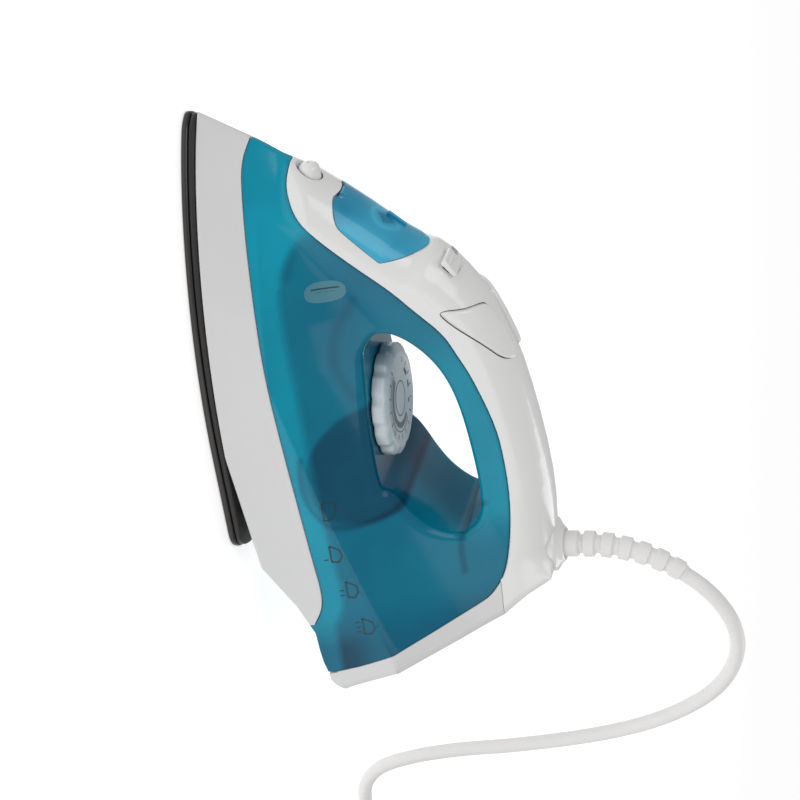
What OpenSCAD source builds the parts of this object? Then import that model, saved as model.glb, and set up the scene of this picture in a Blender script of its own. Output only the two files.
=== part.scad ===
// Steam iron: a sole with a cast steam chamber, a skirt, a clear water tank, a handle, a dial,
// two thumb buttons, a steam selector, a fill door and a mains cord with its plug.
// Frame: the sole rests on Z = 0, the nose points to +X, the left side of the iron is +Y.

/* [Body] */
// Length from the tip of the sole to the back of the rear cover
body_l = 268; // [240:1:324]
// Width of the body at its widest
body_w = 97; // [86:1:118]
// Height of the handle's top above the resting surface
body_h = 137; // [124:1:166]
// Wall of the skirt, the tank and the covers
wall = 2.4; // [1.8:0.1:3]
// Gap between two shells where they meet
parting = 0.3; // [0.2:0.05:0.5]

/* [Sole] */
// Length of the soleplate
sole_l = 198; // [176:1:214]
// Thickness of the soleplate
sole_t = 2.8; // [2:0.1:4]
// Thickness of the black seal between the soleplate and the skirt
seal_t = 2.7; // [2:0.1:4]
// Diameter of a steam hole
steam_hole_d = 3; // [2:0.1:4.2]
// Height of the cast steam chamber above the soleplate
chamber_h = 12; // [10:0.5:14]
// How far the chamber stays inside the edge of the sole
chamber_inset = 10.5; // [9:0.5:12]
// Diameter of the heating element's tube
element_d = 6.6; // [5:0.1:7.5]
// Distance between the two legs of the heating element
element_gap = 42; // [34:1:46]

/* [Dial] */
// Diameter of the temperature dial
dial_d = 50; // [42:1:56]
// Height of the dial's rim
dial_rim = 5.6; // [4:0.1:7]
// Diameter of the shaft between the dial and the thermostat
shaft_d = 5; // [4:0.1:6]
// Radial gap of the shaft in its sleeve
shaft_fit = 0.5; // [0.3:0.05:0.8]

/* [Buttons] */
// Travel of a thumb button
button_travel = 3; // [2:0.1:4]
// Gap round a thumb button
button_gap = 0.5; // [0.4:0.05:0.8]
// Diameter of a pump's piston
piston_d = 5; // [4:0.1:6]
// Travel of the steam selector across the handle
selector_travel = 11; // [8:0.5:12]

/* [Spray] */
// Diameter of the spray nozzle
nozzle_d = 10; // [8:0.1:11]
// Diameter of the fill door's hinge pin
door_pin_d = 2; // [1.6:0.1:2.4]

/* [Cord] */
// Diameter of the mains cord
cord_d = 7; // [6:0.1:8]
// Diameter of the strain relief
relief_d = 12; // [10:0.1:13]
// Diameter of a round plug pin
pin_d = 4.8; // [4:0.1:5]

/* [Hidden] */

// The outline is drawn for these sizes and stretched to the ones above
kx = body_l / 268;
ky = body_w / 97;
kz = body_h / 137;
hair = 0.05;
fine = 48;
levels = 9;
tip_x = 100;

// Top outline of the whole iron seen from its side: [x, z]
top_line = [[100, 6], [88, 27], [77, 43], [59, 67], [38, 91], [34, 103], [17, 116], [3, 123],
    [-18, 129.5], [-45, 134], [-75, 137], [-100, 137], [-137, 133], [-165, 50], [-168, 42]];
// Edge between the skirt and the tank
seam_line = [[88, 27], [80, 24], [67, 24.5], [29, 27], [-5, 29], [-43, 33], [-95, 36.5],
    [-112, 38], [-122, 37], [-131, 32]];
// Edge between the blue tank and the white handle
split_line = [[77, 43], [70, 41.5], [62, 44], [55, 48], [46, 56], [34, 69], [23, 82], [13, 91],
    [2, 102], [-9, 107], [-20, 112], [-45, 119.5], [-65, 121], [-82, 121], [-101, 119],
    [-116, 116], [-124, 113], [-131, 108], [-134, 103], [-141, 85], [-147, 67], [-153, 52],
    [-157, 38]];
// Upper edge of the finger opening
arch_line = [[2, 78], [-1, 84], [-7, 91], [-15, 97], [-25, 101.5], [-38, 104.5], [-55, 106.5],
    [-75, 108], [-88, 107.5], [-95, 104.5], [-99, 99]];
// Top of the tank below the finger opening
deck_line = [[2, 72], [-3, 68], [-9, 66], [-69, 66], [-71, 71], [-77, 75], [-85, 79], [-93, 85],
    [-98, 93], [-99, 98]];
// Underside of the skirt and of the tank's tail
under_line = [[100, 5.8], [-90, 5.8], [-131, 31], [-150, 32], [-158, 34], [-163, 34.5],
    [-168, 41]];
// Lower edge of the fill door
door_line = [[61, 61], [53, 62.5], [49, 66], [35, 80], [34, 82]];
// Height where the side of the body starts to lean inwards
shoulder_line = [[100, 30], [-10, 30], [-150, 66.4]];
// Height where the side has come in to the handle's width
neck_line = [[77, 43], [55, 50], [34, 69], [12, 91], [-9, 106], [-30, 116], [-60, 121],
    [-168, 124]];
// How hollow the side is between the shoulder and the neck
hollow_line = [[0, 2], [-60, 2.4], [-150, 1.1]];

hole_front = 2;
hole_rear = -99;
handle_half = 19;
crest_half = 0.6;
nose_lean = 0.56;
nose_l = 145;
hull_half = 48.5;
crest_r = 16;
crest_end = 12;

function ease(a, b, v) = let (t = max(0, min(1, (v - a) / (b - a)))) t * t * (3 - 2 * t);
function arc(s) = let (t = max(0, min(1, s))) sqrt(max(0, 1 - (1 - t) * (1 - t)));
function top0(x) = lookup(x, top_line);
// Half-width of the hull at a station: an ogive that starts at the leaning nose
function hull0(x, z) = let (u = max(0, min(1, (tip_x - nose_lean * (z - 6) - x) / nose_l)))
    hull_half * pow(1 - (1 - u) * (1 - u), 0.8);
// The hull comes in to the handle's width between the shoulder and the neck
function side0(x, z) = let (
        h = hull0(x, z),
        s = lookup(x, shoulder_line),
        n = max(lookup(x, neck_line), s + 1),
        t = max(0, min(1, (z - s) / (n - s))),
        b = h < handle_half ? h
            : handle_half + (h - handle_half) * pow(1 - t, lookup(x, hollow_line)))
    b + (max(b, handle_half) - b) * ease(38, 52, z);
// The crest is rounded by the distance below the top outline
function segment_gap(p, a, b) = let (
        v = b - a,
        t = max(0, min(1, (p - a) * v / (v * v))))
    norm(p - a - t * v);
function crest_gap(x, z) = min([for (i = [0:crest_end - 1])
    segment_gap([x, z], top_line[i], top_line[i + 1])]);
function crest0(x, z) = 1 + (arc(crest_gap(x, z) / crest_r) - 1) * ease(27, 50, z)
    * ease(-126, -112, x);
function half(x, z) = ky * side0(x / kx, z / kz) * crest0(x / kx, z / kz);
function line_z(x, line) = kz * lookup(x / kx, line);
function top_z(x) = line_z(x, top_line);
function seam_z(x) = line_z(x, seam_line);
function split_z(x) = line_z(x, split_line);
function deck_z(x) = line_z(x, deck_line);
function arch_z(x) = line_z(x, arch_line);
function under_z(x) = max(seal_top + parting, line_z(x, under_line));
function span(a, b, n) = [for (i = [0:n]) a + (b - a) * i / n];
// Stations in rising order; where two lie within near of each other the first listed stays
near = 0.3;
function sorted(v) = len(v) == 0 ? [] : let (
        p = v[0],
        rest = [for (i = [1:1:len(v) - 1]) v[i]])
    concat(sorted([for (a = rest) if (a < p - near) a]), [p],
        sorted([for (a = rest) if (a > p + near) a]));
// The corners of an outline that lie between two stations
function corners(line, a, b) = [for (p = line) if (p[0] * kx > a + near && p[0] * kx < b - near)
    p[0] * kx];

// A closed solid between two lines: at each station the side follows half(), grown by grow
module band(xs, lo, hi, grow = 0, m = levels) {
    n = len(xs) - 1;
    row = m + 1;
    far = (n + 1) * row;
    function at(i, j) = let (z = lo(xs[i]) + (hi(xs[i]) - lo(xs[i])) * j / m)
        [xs[i], max(crest_half, half(xs[i], z) + grow), z];
    near_pts = [for (i = [0:n]) for (j = [0:m]) at(i, j)];
    far_pts = [for (p = near_pts) [p[0], -p[1], p[2]]];
    side = [for (i = [0:n - 1]) for (j = [0:m - 1]) let (a = i * row + j, b = a + row)
        each [[a, b, b + 1], [a, b + 1, a + 1],
            [far + a, far + b + 1, far + b], [far + a, far + a + 1, far + b + 1]]];
    rims = [for (i = [0:n - 1]) let (a = i * row, b = a + row, c = a + m, d = b + m)
        each [[a, far + a, far + b], [a, far + b, b], [c, d, far + d], [c, far + d, far + c]]];
    ends = [for (j = [0:m - 1]) let (a = j, b = n * row + j)
        each [[a, a + 1, far + a + 1], [a, far + a + 1, far + a],
            [b, far + b + 1, b + 1], [b, far + b, far + b + 1]]];
    polyhedron(concat(near_pts, far_pts), concat(side, rims, ends));
}

// ---- derived sizes ----
seal_top = sole_t + seal_t;
sole_tip = tip_x * kx;
sole_heel = sole_tip - sole_l;
heel_bow = 18;
dial_x = -42 * kx;
deck_top = 66 * kz;
base_z = 20.5 * kz;
base_t = 2;
cover_z = sole_t + chamber_h;
cover_t = 1.5;
shield_z = base_z - 1.5;
shield_t = 0.8;
valve_x = 26 * kx;

// Half-width of the sole: the hull's ogive, closed by a rounded heel
function heel(x) = let (t = max(0, min(1, (sole_heel + heel_bow - x) / heel_bow)))
    pow(1 - t * t * t, 1 / 3);
function sole_half(x) = ky * hull0(x / kx, 0) * heel(x);
sole_xs = concat(span(sole_heel, sole_heel + heel_bow, 10),
    span(sole_heel + heel_bow + 4, sole_tip - 12, 20),
    [for (t = [8, 5, 3, 1.5, 0.5, 0]) sole_tip - t]);
module sole_outline(inset) {
    edge = [for (x = sole_xs) if (sole_half(x) > inset + 0.4 && x > sole_heel + inset)
        [x, sole_half(x) - inset]];
    polygon(concat(edge, [for (i = [len(edge) - 1:-1:0]) [edge[i][0], -edge[i][1]]]));
}
module plate(z, t, inset) {
    translate([0, 0, z]) linear_extrude(t) sole_outline(inset);
}
// A plate inside the shells at a height, kept a gap inside their outside
module deck_plate(z, t, gap) {
    xs = [for (x = span(-91 * kx, 88 * kx, 26)) if (half(x, z + t) > gap + 1) x];
    edge = [for (x = xs) [x, half(x, z + t) - gap]];
    translate([0, 0, z]) linear_extrude(t)
        polygon(concat(edge, [for (i = [len(edge) - 1:-1:0]) [edge[i][0], -edge[i][1]]]));
}
module post(x, y, z, d, h) {
    translate([x, y, z]) cylinder(d = d, h = h, $fn = fine);
}
// ---- sole and heating ----
steam_rows = [for (i = [0:6]) let (x = sole_tip - 26 - 17 * i)
    each [[x, 0.62 * sole_half(x)], [x, -0.62 * sole_half(x)]]];
screw_spots = [[46 * kx, 0], [-8 * kx, 27 * ky], [-8 * kx, -27 * ky], [-79 * kx, 12 * ky],
    [-79 * kx, -12 * ky]];
module soleplate() color("gainsboro") {
    difference() {
        plate(0, sole_t, 0);
        for (p = steam_rows) post(p[0], p[1], -1, steam_hole_d, sole_t + 2);
        post(sole_tip - 14, 0, -1, steam_hole_d, sole_t + 2);
    }
}
module sole_seal() color("black") {
    difference() {
        plate(sole_t, seal_t, 0.8);
        plate(sole_t - 1, seal_t + 2, 5);
    }
}
element_z = sole_t + 5.2;
element_x = 36 * kx;
element_end = max(-72 * kx, sole_heel + 26);
module element_path(d) {
    for (s = [-1, 1])
        translate([element_end, s * element_gap / 2, element_z]) rotate([0, 90, 0])
            cylinder(d = d, h = element_x - element_end, $fn = fine);
    translate([element_x, 0, element_z]) rotate([0, 0, -90])
        rotate_extrude(angle = 180, $fn = fine) translate([element_gap / 2, 0])
            circle(d = d, $fn = 32);
}
module element_groove() {
    d = element_d + 0.3;
    element_path(d);
    for (s = [-1, 1]) {
        translate([element_end - 20, s * element_gap / 2, element_z]) rotate([0, 90, 0])
            cylinder(d = d, h = 21, $fn = fine);
        translate([element_end - 20, s * element_gap / 2 - d / 2, element_z])
            cube([element_x - element_end + 20, d, chamber_h]);
    }
    translate([element_x, 0, element_z]) difference() {
        cylinder(d = element_gap + d, h = chamber_h, $fn = fine);
        translate([0, 0, -1]) cylinder(d = element_gap - d, h = chamber_h + 2, $fn = fine);
        translate([-body_w, -body_w, -1]) cube([body_w, 2 * body_w, chamber_h + 2]);
    }
}
stat_d = 16;
stat_floor = sole_t + 3;
module steam_chamber() color("silver") {
    difference() {
        union() {
            difference() {
                plate(sole_t, chamber_h, chamber_inset);
                translate([-52 * kx, -element_gap / 2 + 7, stat_floor])
                    cube([80 * kx, element_gap - 14, chamber_h]);
            }
            post(dial_x, 0, sole_t, stat_d + 5, chamber_h);
        }
        element_groove();
        post(dial_x, 0, stat_floor, stat_d + 1, chamber_h);
        for (p = screw_spots) post(p[0], p[1], cover_z - 8, 2.9, 9);
    }
}
module heating_element() color("dimgray") {
    element_path(element_d);
}
post_x = element_end - 5;
module element_terminals() color("gold") {
    for (s = [-1, 1]) {
        translate([element_end, s * element_gap / 2, element_z])
            rotate([0, -90, 0]) cylinder(d = 2.6, h = 5, $fn = fine);
        post(post_x, s * element_gap / 2, element_z - 1.3, 2.6, wire_z - wire_d / 2 - element_z + 1.3);
    }
}
module chamber_cover() color("silver") {
    difference() {
        plate(cover_z, cover_t, chamber_inset + 1);
        for (p = screw_spots) post(p[0], p[1], cover_z - 1, 3.4, cover_t + 2);
        post(valve_x, 0, cover_z - 1, 5, cover_t + 2);
        post(dial_x, 0, cover_z - 1, stat_d + 2, cover_t + 2);
        post(steam_spot[0], steam_spot[1], cover_z - 1, 3.4, cover_t + 2);
        for (s = [-1, 1]) post(post_x, s * element_gap / 2, cover_z - 1, 5, cover_t + 2);
    }
}
module chamber_screws() color("dimgray") {
    for (p = screw_spots) {
        post(p[0], p[1], cover_z - 6, 2.8, cover_t + 6);
        post(p[0], p[1], cover_z + cover_t, 5.4, 1.6);
    }
}

// ---- thermostat ----
stat_z = cover_z + cover_t;
module thermostat_bracket() color("silver") {
    difference() {
        translate([dial_x - 9, -17, stat_z]) cube([18, 34, 1]);
        post(dial_x, 0, stat_z - 1, stat_d + 0.6, 3);
    }
}
module thermostat() color("burlywood") {
    difference() {
        post(dial_x, 0, stat_floor + parting, stat_d, stat_z + 1.4 - stat_floor - parting);
        post(dial_x, 0, stat_floor + 3, shaft_d + 2 * shaft_fit, base_z);
    }
}
fuse_x = max(-64 * kx, sole_heel + chamber_inset + 4);
module thermal_fuse() color("white") {
    translate([fuse_x, -8, stat_z + 1.2]) rotate([-90, 0, 0]) cylinder(d = 2.2, h = 16, $fn = fine);
}
module heat_shield() color("whitesmoke") {
    difference() {
        deck_plate(shield_z, shield_t, wall + 4);
        post(dial_x, 0, shield_z - 1, 18, shield_t + 2);
        post(valve_x, 0, shield_z - 1, 9, shield_t + 2);
        post(steam_spot[0], steam_spot[1], shield_z - 1, 5, shield_t + 2);
    }
}

// ---- shells ----
skirt_front = 99 * kx;
skirt_rear = -130 * kx;
skirt_xs = sorted(concat([skirt_rear], corners(seam_line, skirt_rear, skirt_front),
    [for (x = [91, 95, 97.5]) x * kx], [skirt_front], span(skirt_rear, -90 * kx, 6),
    span(-84 * kx, 64 * kx, 12)));
skirt_top = function (x) min(seam_z(x), top_z(x)) - parting / 2;
module skirt() color("gainsboro") {
    open_x = -86 * kx;
    inner = [for (x = skirt_xs) if (x > skirt_rear + wall && x < skirt_front - 2 * wall) x];
    difference() {
        band(skirt_xs, function (x) min(under_z(x), skirt_top(x) - 1), skirt_top, 0);
        band(inner, function (x) x > open_x ? 1 : under_z(x) + wall,
            function (x) seam_z(x) + 12, -wall, 5);
        translate([0, 0, -hair]) plate(0, seal_top + 2 * hair, 2.6);
    }
}
tank_front = 87 * kx;
tank_rear = -157 * kx;
column_x = hole_front * kx;
leg_x = hole_rear * kx;
tank_hi = function (x) (x > column_x - hair || x < leg_x + hair
    ? min(split_z(x), top_z(x)) : deck_z(x)) - parting / 2;
tail_step = skirt_rear - parting;
tank_lo = function (x) x > tail_step ? seam_z(x) + parting / 2 : under_z(x);
tank_xs = concat(sorted(concat([tank_rear, tail_step - 0.01], corners(split_line, tank_rear, tail_step),
        span(tank_rear, tail_step, 5))), [tail_step + 0.01],
    sorted(concat([leg_x], corners(split_line, tail_step + 1, leg_x),
        corners(seam_line, tail_step + 1, leg_x), [-122 * kx, -103 * kx])),
    [for (x = [-98.9, -98, -96, -93, -89, -85, -81, -77, -71, -69, -60, -48]) x * kx],
    sorted(concat(corners(seam_line, -45 * kx, column_x), [for (x = [-36, -24, -12, 1.9]) x * kx])),
    sorted(concat([column_x, tank_front], corners(split_line, column_x, tank_front),
        corners(seam_line, column_x, tank_front), corners(top_line, 76 * kx, tank_front),
        [for (x = [7, 18, 28, 40, 50, 80, 84]) x * kx])));
roof_z = 60 * kz;
water_hi = function (x) min(tank_hi(x - wall), tank_hi(x), tank_hi(x + wall)) - wall;
// The dry space behind the tank that the wires run down, and its way into the skirt
module wire_space(grow) {
    rotate([90, 0, 0]) {
        translate([0, 0, -12 - grow]) linear_extrude(24 + 2 * grow)
            polygon([for (p = [[-185, 39], [-147, 39], [-109, 140], [-150, 160]])
                [p[0] * kx + (p[0] > -148 ? grow : -grow), p[1] * kz - (p[1] < 50 ? grow : 0)]]);
        translate([0, 0, -8 - grow]) linear_extrude(16 + 2 * grow)
            polygon([for (p = [[-150, 39], [-150, 50], [-112, 50], [-112, 25], [-126, 25], [-128, 39]])
                [p[0] * kx + (p[0] > -120 ? grow : 0), p[1] * kz + (p[1] > 45 ? grow : -grow)]]);
    }
}
// Keeps what lies between two stations
module between(a, b) {
    intersection() {
        translate([a, -body_w, -body_h]) cube([b - a, 2 * body_w, 3 * body_h]);
        children();
    }
}
joint_x = -70 * kx;
far_x = 2 * body_l;
module blue_hull() {
    band(tank_xs, tank_lo, tank_hi, 0);
}
module blue_hollow() {
    band([for (x = tank_xs) if (x > -150 * kx && x < 78 * kx) x],
        function (x) (x > -88 * kx ? base_z : tank_lo(x) + wall), water_hi, -wall, 6);
}
module water_tank() color("darkcyan") {
    sleeve_r = shaft_d / 2 + shaft_fit + 1.6;
    front = joint_x + parting / 2;
    difference() {
        union() {
            difference() {
                between(front, far_x) blue_hull();
                between(front + wall, far_x) blue_hollow();
            }
            post(dial_x, 0, base_z + base_t + parting, 2 * sleeve_r, deck_top - base_z - base_t - 1.5);
        }
        post(dial_x, 0, 0, shaft_d + 2 * shaft_fit, body_h);
        post(valve_x, 0, base_z, 3.2, body_h);
        post(steam_spot[0], steam_spot[1], base_z, 3.4, body_h);
        translate([34 * kx, -10, funnel_z - parting]) cube([22 * kx, 20, 60]);
    }
}
module tail_housing() color("darkcyan") {
    rear = joint_x - parting / 2;
    difference() {
        between(-far_x, rear) blue_hull();
        difference() {
            between(-far_x, rear - wall) blue_hollow();
            wire_space(wall);
        }
        wire_space(0);
        for (p = rear_spots) rear_frame(p) translate([0, 0, -screw_l - 1])
            cylinder(d = 3.2, h = screw_l, $fn = fine);
    }
}
module tank_base() color("teal") {
    difference() {
        deck_plate(base_z, base_t, wall + 2 * parting);
        post(dial_x, 0, base_z - 1, shaft_d + 2 * shaft_fit, base_t + 2);
        post(valve_x, 0, base_z - 1, 5, base_t + 2);
        post(steam_spot[0], steam_spot[1], base_z - 1, 3.4, base_t + 2);
    }
}
tank_spots = [[-20 * kx, 30 * ky], [-20 * kx, -30 * ky], [-74 * kx, 30 * ky],
    [-74 * kx, -30 * ky]];
module tank_screws() color("dimgray") {
    for (p = tank_spots) post(p[0], p[1], shield_z + shield_t, 5, base_z - shield_z - shield_t);
}
module drip_seal() color("saddlebrown") {
    difference() {
        post(valve_x, 0, base_z - 0.7, 4.9, base_t + 1.4);
        post(valve_x, 0, base_z - 2, 3.1, base_t + 4);
    }
}

dial_seat = deck_top + 0.6;
dial_lobes = 12;
module temperature_dial() color("gainsboro") {
    difference() {
        union() {
            post(dial_x, 0, dial_seat, dial_d, dial_rim);
            translate([dial_x, 0, dial_seat + dial_rim])
                cylinder(d1 = dial_d, d2 = dial_d - 8, h = 1.4, $fn = fine);
        }
        for (i = [0:dial_lobes - 1]) translate([dial_x, 0, 0]) rotate([0, 0, 360 * (i + 0.5) / dial_lobes])
            translate([dial_d / 2 + 6.6, 0, dial_seat - 1]) cylinder(d = 15, h = 20, $fn = fine);
        post(dial_x, 0, dial_seat - 1, shaft_d, 5);
        translate([dial_x, 0, dial_seat - 1]) difference() {
            cylinder(d = dial_d - 6, h = 4, $fn = fine);
            translate([0, 0, -1]) cylinder(d = shaft_d + 5, h = 6, $fn = fine);
        }
    }
}
module dial_shaft() color("silver") {
    bottom = stat_floor + 3.4;
    post(dial_x, 0, bottom, shaft_d, dial_seat + 4 - bottom);
}

// ---- handle ----
function drop(x) = let (s = (top0(x / kx + 1) - top0(x / kx - 1)) / 2) wall * sqrt(1 + s * s);
liner_xs = sorted(concat([-98.9 * kx, 1.9 * kx], corners(split_line, -98 * kx, 1.5 * kx),
    corners(arch_line, -98 * kx, 1.5 * kx)));
module handle_liner() color("darkcyan") {
    inner = [for (i = [1:len(liner_xs) - 2]) liner_xs[i]];
    difference() {
        band(liner_xs, function (x) arch_z(x), function (x) split_z(x) - parting / 2, 0, 5);
        band(inner, function (x) max(arch_z(x - wall), arch_z(x), arch_z(x + wall)) + wall,
            function (x) split_z(x) + 5, -wall, 4);
    }
}
cover_top = 112 * kz;
shell_xs = sorted(concat([for (x = [-143.5, -125, -123.9, 75.5]) x * kx],
    corners(split_line, -123 * kx, 75 * kx), corners(top_line, -143 * kx, 75 * kx),
    [for (x = [-141, -134, -130, -110, -90, -32, -25, -14, 10, 27, 31, 36, 42, 50, 65, 73])
        x * kx]));
shell_lo = function (x) x < -124 * kx ? cover_top + parting : split_z(x) + parting / 2;
// The leaf of a thumb button, drawn square to its press axis: [x, across]
leaf = [[13, 15.4], [11.5, 8], [11, 2.6], [10, -2], [9, -3.6], [2, -6.7], [-7, -9.2],
    [-15, -9.4], [-17, -8.4], [-17, -6], [-14, -0.3], [-7, 4.5], [3, 11.5], [9, 14.5]];
press_tilt = 25;
press_y = 10.5 * ky;
press_z = 121 * kz;
pump_x = [5 * kx, -9 * kx];
pump_across = [1, -2.5];
// Places a thing on a button's press axis: side 1 is the left button, -1 the right one
module press_frame(side) {
    translate([0, side * press_y, press_z]) rotate([-side * press_tilt, 0, 0])
        scale([1, side, 1]) children();
}
module leaf_prism(grow, z, h) {
    translate([0, 0, z]) linear_extrude(h) offset(delta = grow) scale([kx, ky]) polygon(leaf);
}
function bump(g) = function (x) top_z(x) + g * drop(x) / wall;
cap_t = 2.2;
cap_xs = [for (x = [-20, -16, -12, -8, -4, 0, 3, 6, 9, 12, 15]) x * kx];
module thumb_button(side, i) {
    proud = 1;
    union() {
        intersection() {
            difference() {
                band(cap_xs, function (x) split_z(x), bump(proud), proud, 8);
                band(cap_xs, function (x) split_z(x) - 5, bump(proud - cap_t), proud - cap_t, 8);
            }
            press_frame(side) leaf_prism(0, -25, 50);
        }
        intersection() {
            press_frame(side) translate([pump_x[i], pump_across[i], -12.5])
                cylinder(d = piston_d, h = 25, $fn = fine);
            band(cap_xs, function (x) split_z(x) - 20, bump(proud - cap_t / 2), proud - cap_t / 2, 8);
        }
    }
}
module spray_button() color("white") thumb_button(1, 0);
module steam_button() color("white") thumb_button(-1, 1);
pump_wall = 1.5;
pump_top = -8.5;
pump_h = 9;
module pump(side, i) {
    press_frame(side) translate([pump_x[i], pump_across[i], pump_top - pump_h]) difference() {
        cylinder(d = piston_d + 0.6 + 2 * pump_wall, h = pump_h, $fn = fine);
        translate([0, 0, pump_wall]) cylinder(d = piston_d + 0.6, h = pump_h, $fn = fine);
    }
}
module spray_pump() color("white") pump(1, 0);
module steam_pump() color("white") pump(-1, 1);
spring_spare = 0.9;
module spring(side, i) {
    press_frame(side) translate([pump_x[i], pump_across[i], pump_top + 0.1]) difference() {
        cylinder(d = piston_d + 2.6, h = button_travel + spring_spare, $fn = fine);
        translate([0, 0, -1]) cylinder(d = piston_d + 1, h = 7, $fn = fine);
    }
}
module spray_spring() color("silver") spring(1, 0);
module steam_spring() color("silver") spring(-1, 1);

facet_a = atan((116 - 103) * kz / ((34 - 17) * kx));
selector_x = 29 * kx;
selector_z = top_z(selector_x);
selector_w = 12;
selector_y = selector_travel / 2;
module facet_frame() {
    translate([selector_x, 0, selector_z]) rotate([0, facet_a, 0]) children();
}
module steam_selector() color("white") {
    facet_frame() translate([0, selector_y, 0]) {
        difference() {
            translate([-4.2, -selector_w / 2, 0.2]) cube([8.4, selector_w, 2.2]);
            translate([-9.2, -selector_w / 2 - 1, 1.4]) rotate([0, -20, 0])
                cube([6, selector_w + 2, 6]);
        }
        translate([-1.5, -1.5, -wall - 2.6]) cube([3, 3, wall + 3.2]);
    }
}
module valve_rod() color("silver") {
    top = selector_z - 9;
    post(valve_x, 0, base_z + 0.5, 2.8, top - base_z - 0.5);
}

nozzle_x = 60 * kx;
nozzle_z = 50 * kz;
nozzle_tip = 75.5 * kx;
module nozzle_axis(x) {
    translate([x, 0, nozzle_z]) rotate([0, 90, 0]) children();
}
module spray_nozzle() color("white") {
    difference() {
        union() {
            nozzle_axis(nozzle_x) cylinder(d = nozzle_d, h = nozzle_tip - nozzle_x - nozzle_d / 2 + 2,
                $fn = fine);
            nozzle_axis(nozzle_tip - nozzle_d / 2 + 2) intersection() {
                translate([0, 0, -3]) sphere(r = sqrt(9 + nozzle_d * nozzle_d / 4), $fn = fine);
                cylinder(d = nozzle_d, h = nozzle_d, $fn = fine);
            }
        }
        nozzle_axis(nozzle_x - 1) cylinder(d = 3, h = 40, $fn = fine);
    }
}
module nozzle_tip() color("goldenrod") {
    nozzle_axis(nozzle_tip - 6) difference() {
        cylinder(d = 2.9, h = 5, $fn = fine);
        translate([0, 0, -1]) cylinder(d = 1, h = 7, $fn = fine);
    }
}

door_xs = [for (x = [36, 37, 38, 40, 43, 46, 50, 54, 57, 61]) x * kx];
door_t = 1.6;
module door_region(grow_z, grow, xs) {
    band(xs, function (x) line_z(x, door_line) - grow_z, bump(grow), grow, 8);
}
door_axis_x = 60.2 * kx;
door_axis_z = top_z(door_axis_x) - 2.2;
door_a = atan(24 * kz / (18 * kx));
barrel_d = door_pin_d + 1.6;
barrel_half = 3.1;
lug_y = 4.6;
lug_t = 2.2;
// Stands on the door's hinge pin, with X down the slope of the outline and Z out of it
module door_frame() {
    translate([door_axis_x, 0, door_axis_z]) rotate([0, door_a, 0]) children();
}
module across(y, d, l) {
    translate([0, y - l / 2, 0]) rotate([-90, 0, 0]) cylinder(d = d, h = l, $fn = fine);
}
// The two ears on the shell that hold the ends of the hinge pin
module door_lugs() {
    door_frame() for (s = [-1, 1]) {
        across(s * lug_y, barrel_d - 0.2, lug_t);
        translate([0, s * lug_y - lug_t / 2, -1.7]) cube([5, lug_t, 2.6]);
    }
}
module fill_door() color("deepskyblue") {
    difference() {
        union() {
            difference() {
                door_region(0, 0.2, door_xs);
                band([for (x = [34, 37, 38, 40, 43, 46, 50, 54, 57, 58.4]) x * kx],
                    function (x) line_z(x, door_line) - 5, bump(0.2 - door_t), 0.2 - door_t, 8);
            }
            door_frame() across(0, barrel_d, 2 * barrel_half);
        }
        door_frame() across(0, door_pin_d + 0.1, 16);
        for (s = [-1, 1]) door_frame() across(s * (lug_y + 0.4), barrel_d + 0.6, lug_t + 1.6);
        for (s = [-1, 1]) door_frame() translate([0, s * (lug_y + 0.4) - lug_t / 2 - 0.8, -2.4])
            cube([6, lug_t + 1.6, 6]);
    }
    translate([45 * kx, 0, top_z(45 * kx)]) rotate([0, 47, 0]) translate([-5, -4, -0.4])
        cube([10, 8, 1.5]);
}
module fill_door_pin() color("silver") {
    door_frame() across(0, door_pin_d, 2 * lug_y + lug_t);
}
funnel_z = roof_z - 5;
module fill_funnel() color("white") {
    x0 = 34.4 * kx;
    x1 = 55.6 * kx;
    difference() {
        intersection() {
            translate([x0, -9.6, funnel_z]) cube([x1 - x0, 19.2, 60]);
            band([for (x = [30, 36, 42, 50, 54, 60]) x * kx], function (x) funnel_z - 5,
                bump(-wall - 3), -wall - 1, 6);
        }
        translate([x0 + 1.5, -8.1, funnel_z - 1]) cube([x1 - x0 - 3, 16.2, 70]);
    }
}

module handle_shell() color("white") difference() {
    union() {
        outer_shell();
        door_lugs();
    }
    door_frame() across(0, door_pin_d + 0.1, 16);
}
module outer_shell() {
    inner = [for (x = shell_xs) if (x > -141 * kx && x < 72 * kx) x];
    difference() {
        band(shell_xs, shell_lo, top_z_of, 0);
        band(inner, function (x) x < -124 * kx ? cover_top + wall : split_z(x) - 6,
            function (x) top_z(x) - drop(x), -wall, 6);
        for (side = [-1, 1]) press_frame(side) leaf_prism(button_gap, -22, 54);
        facet_frame() translate([-2, -selector_travel / 2 - 2, -9])
            cube([4, selector_travel + 4, 20]);
        nozzle_axis(nozzle_x - 5) cylinder(d = nozzle_d + 0.6, h = 60, $fn = fine);
        door_region(2 * parting, 3, [for (x = [35.6, 36, 38, 40, 43, 46, 50, 54, 57, 62.4]) x * kx]);
        post(bushing_x, 0, 100 * kz, bushing_d + 0.2, 60);
    }
}
top_z_of = function (x) top_z(x);

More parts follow.
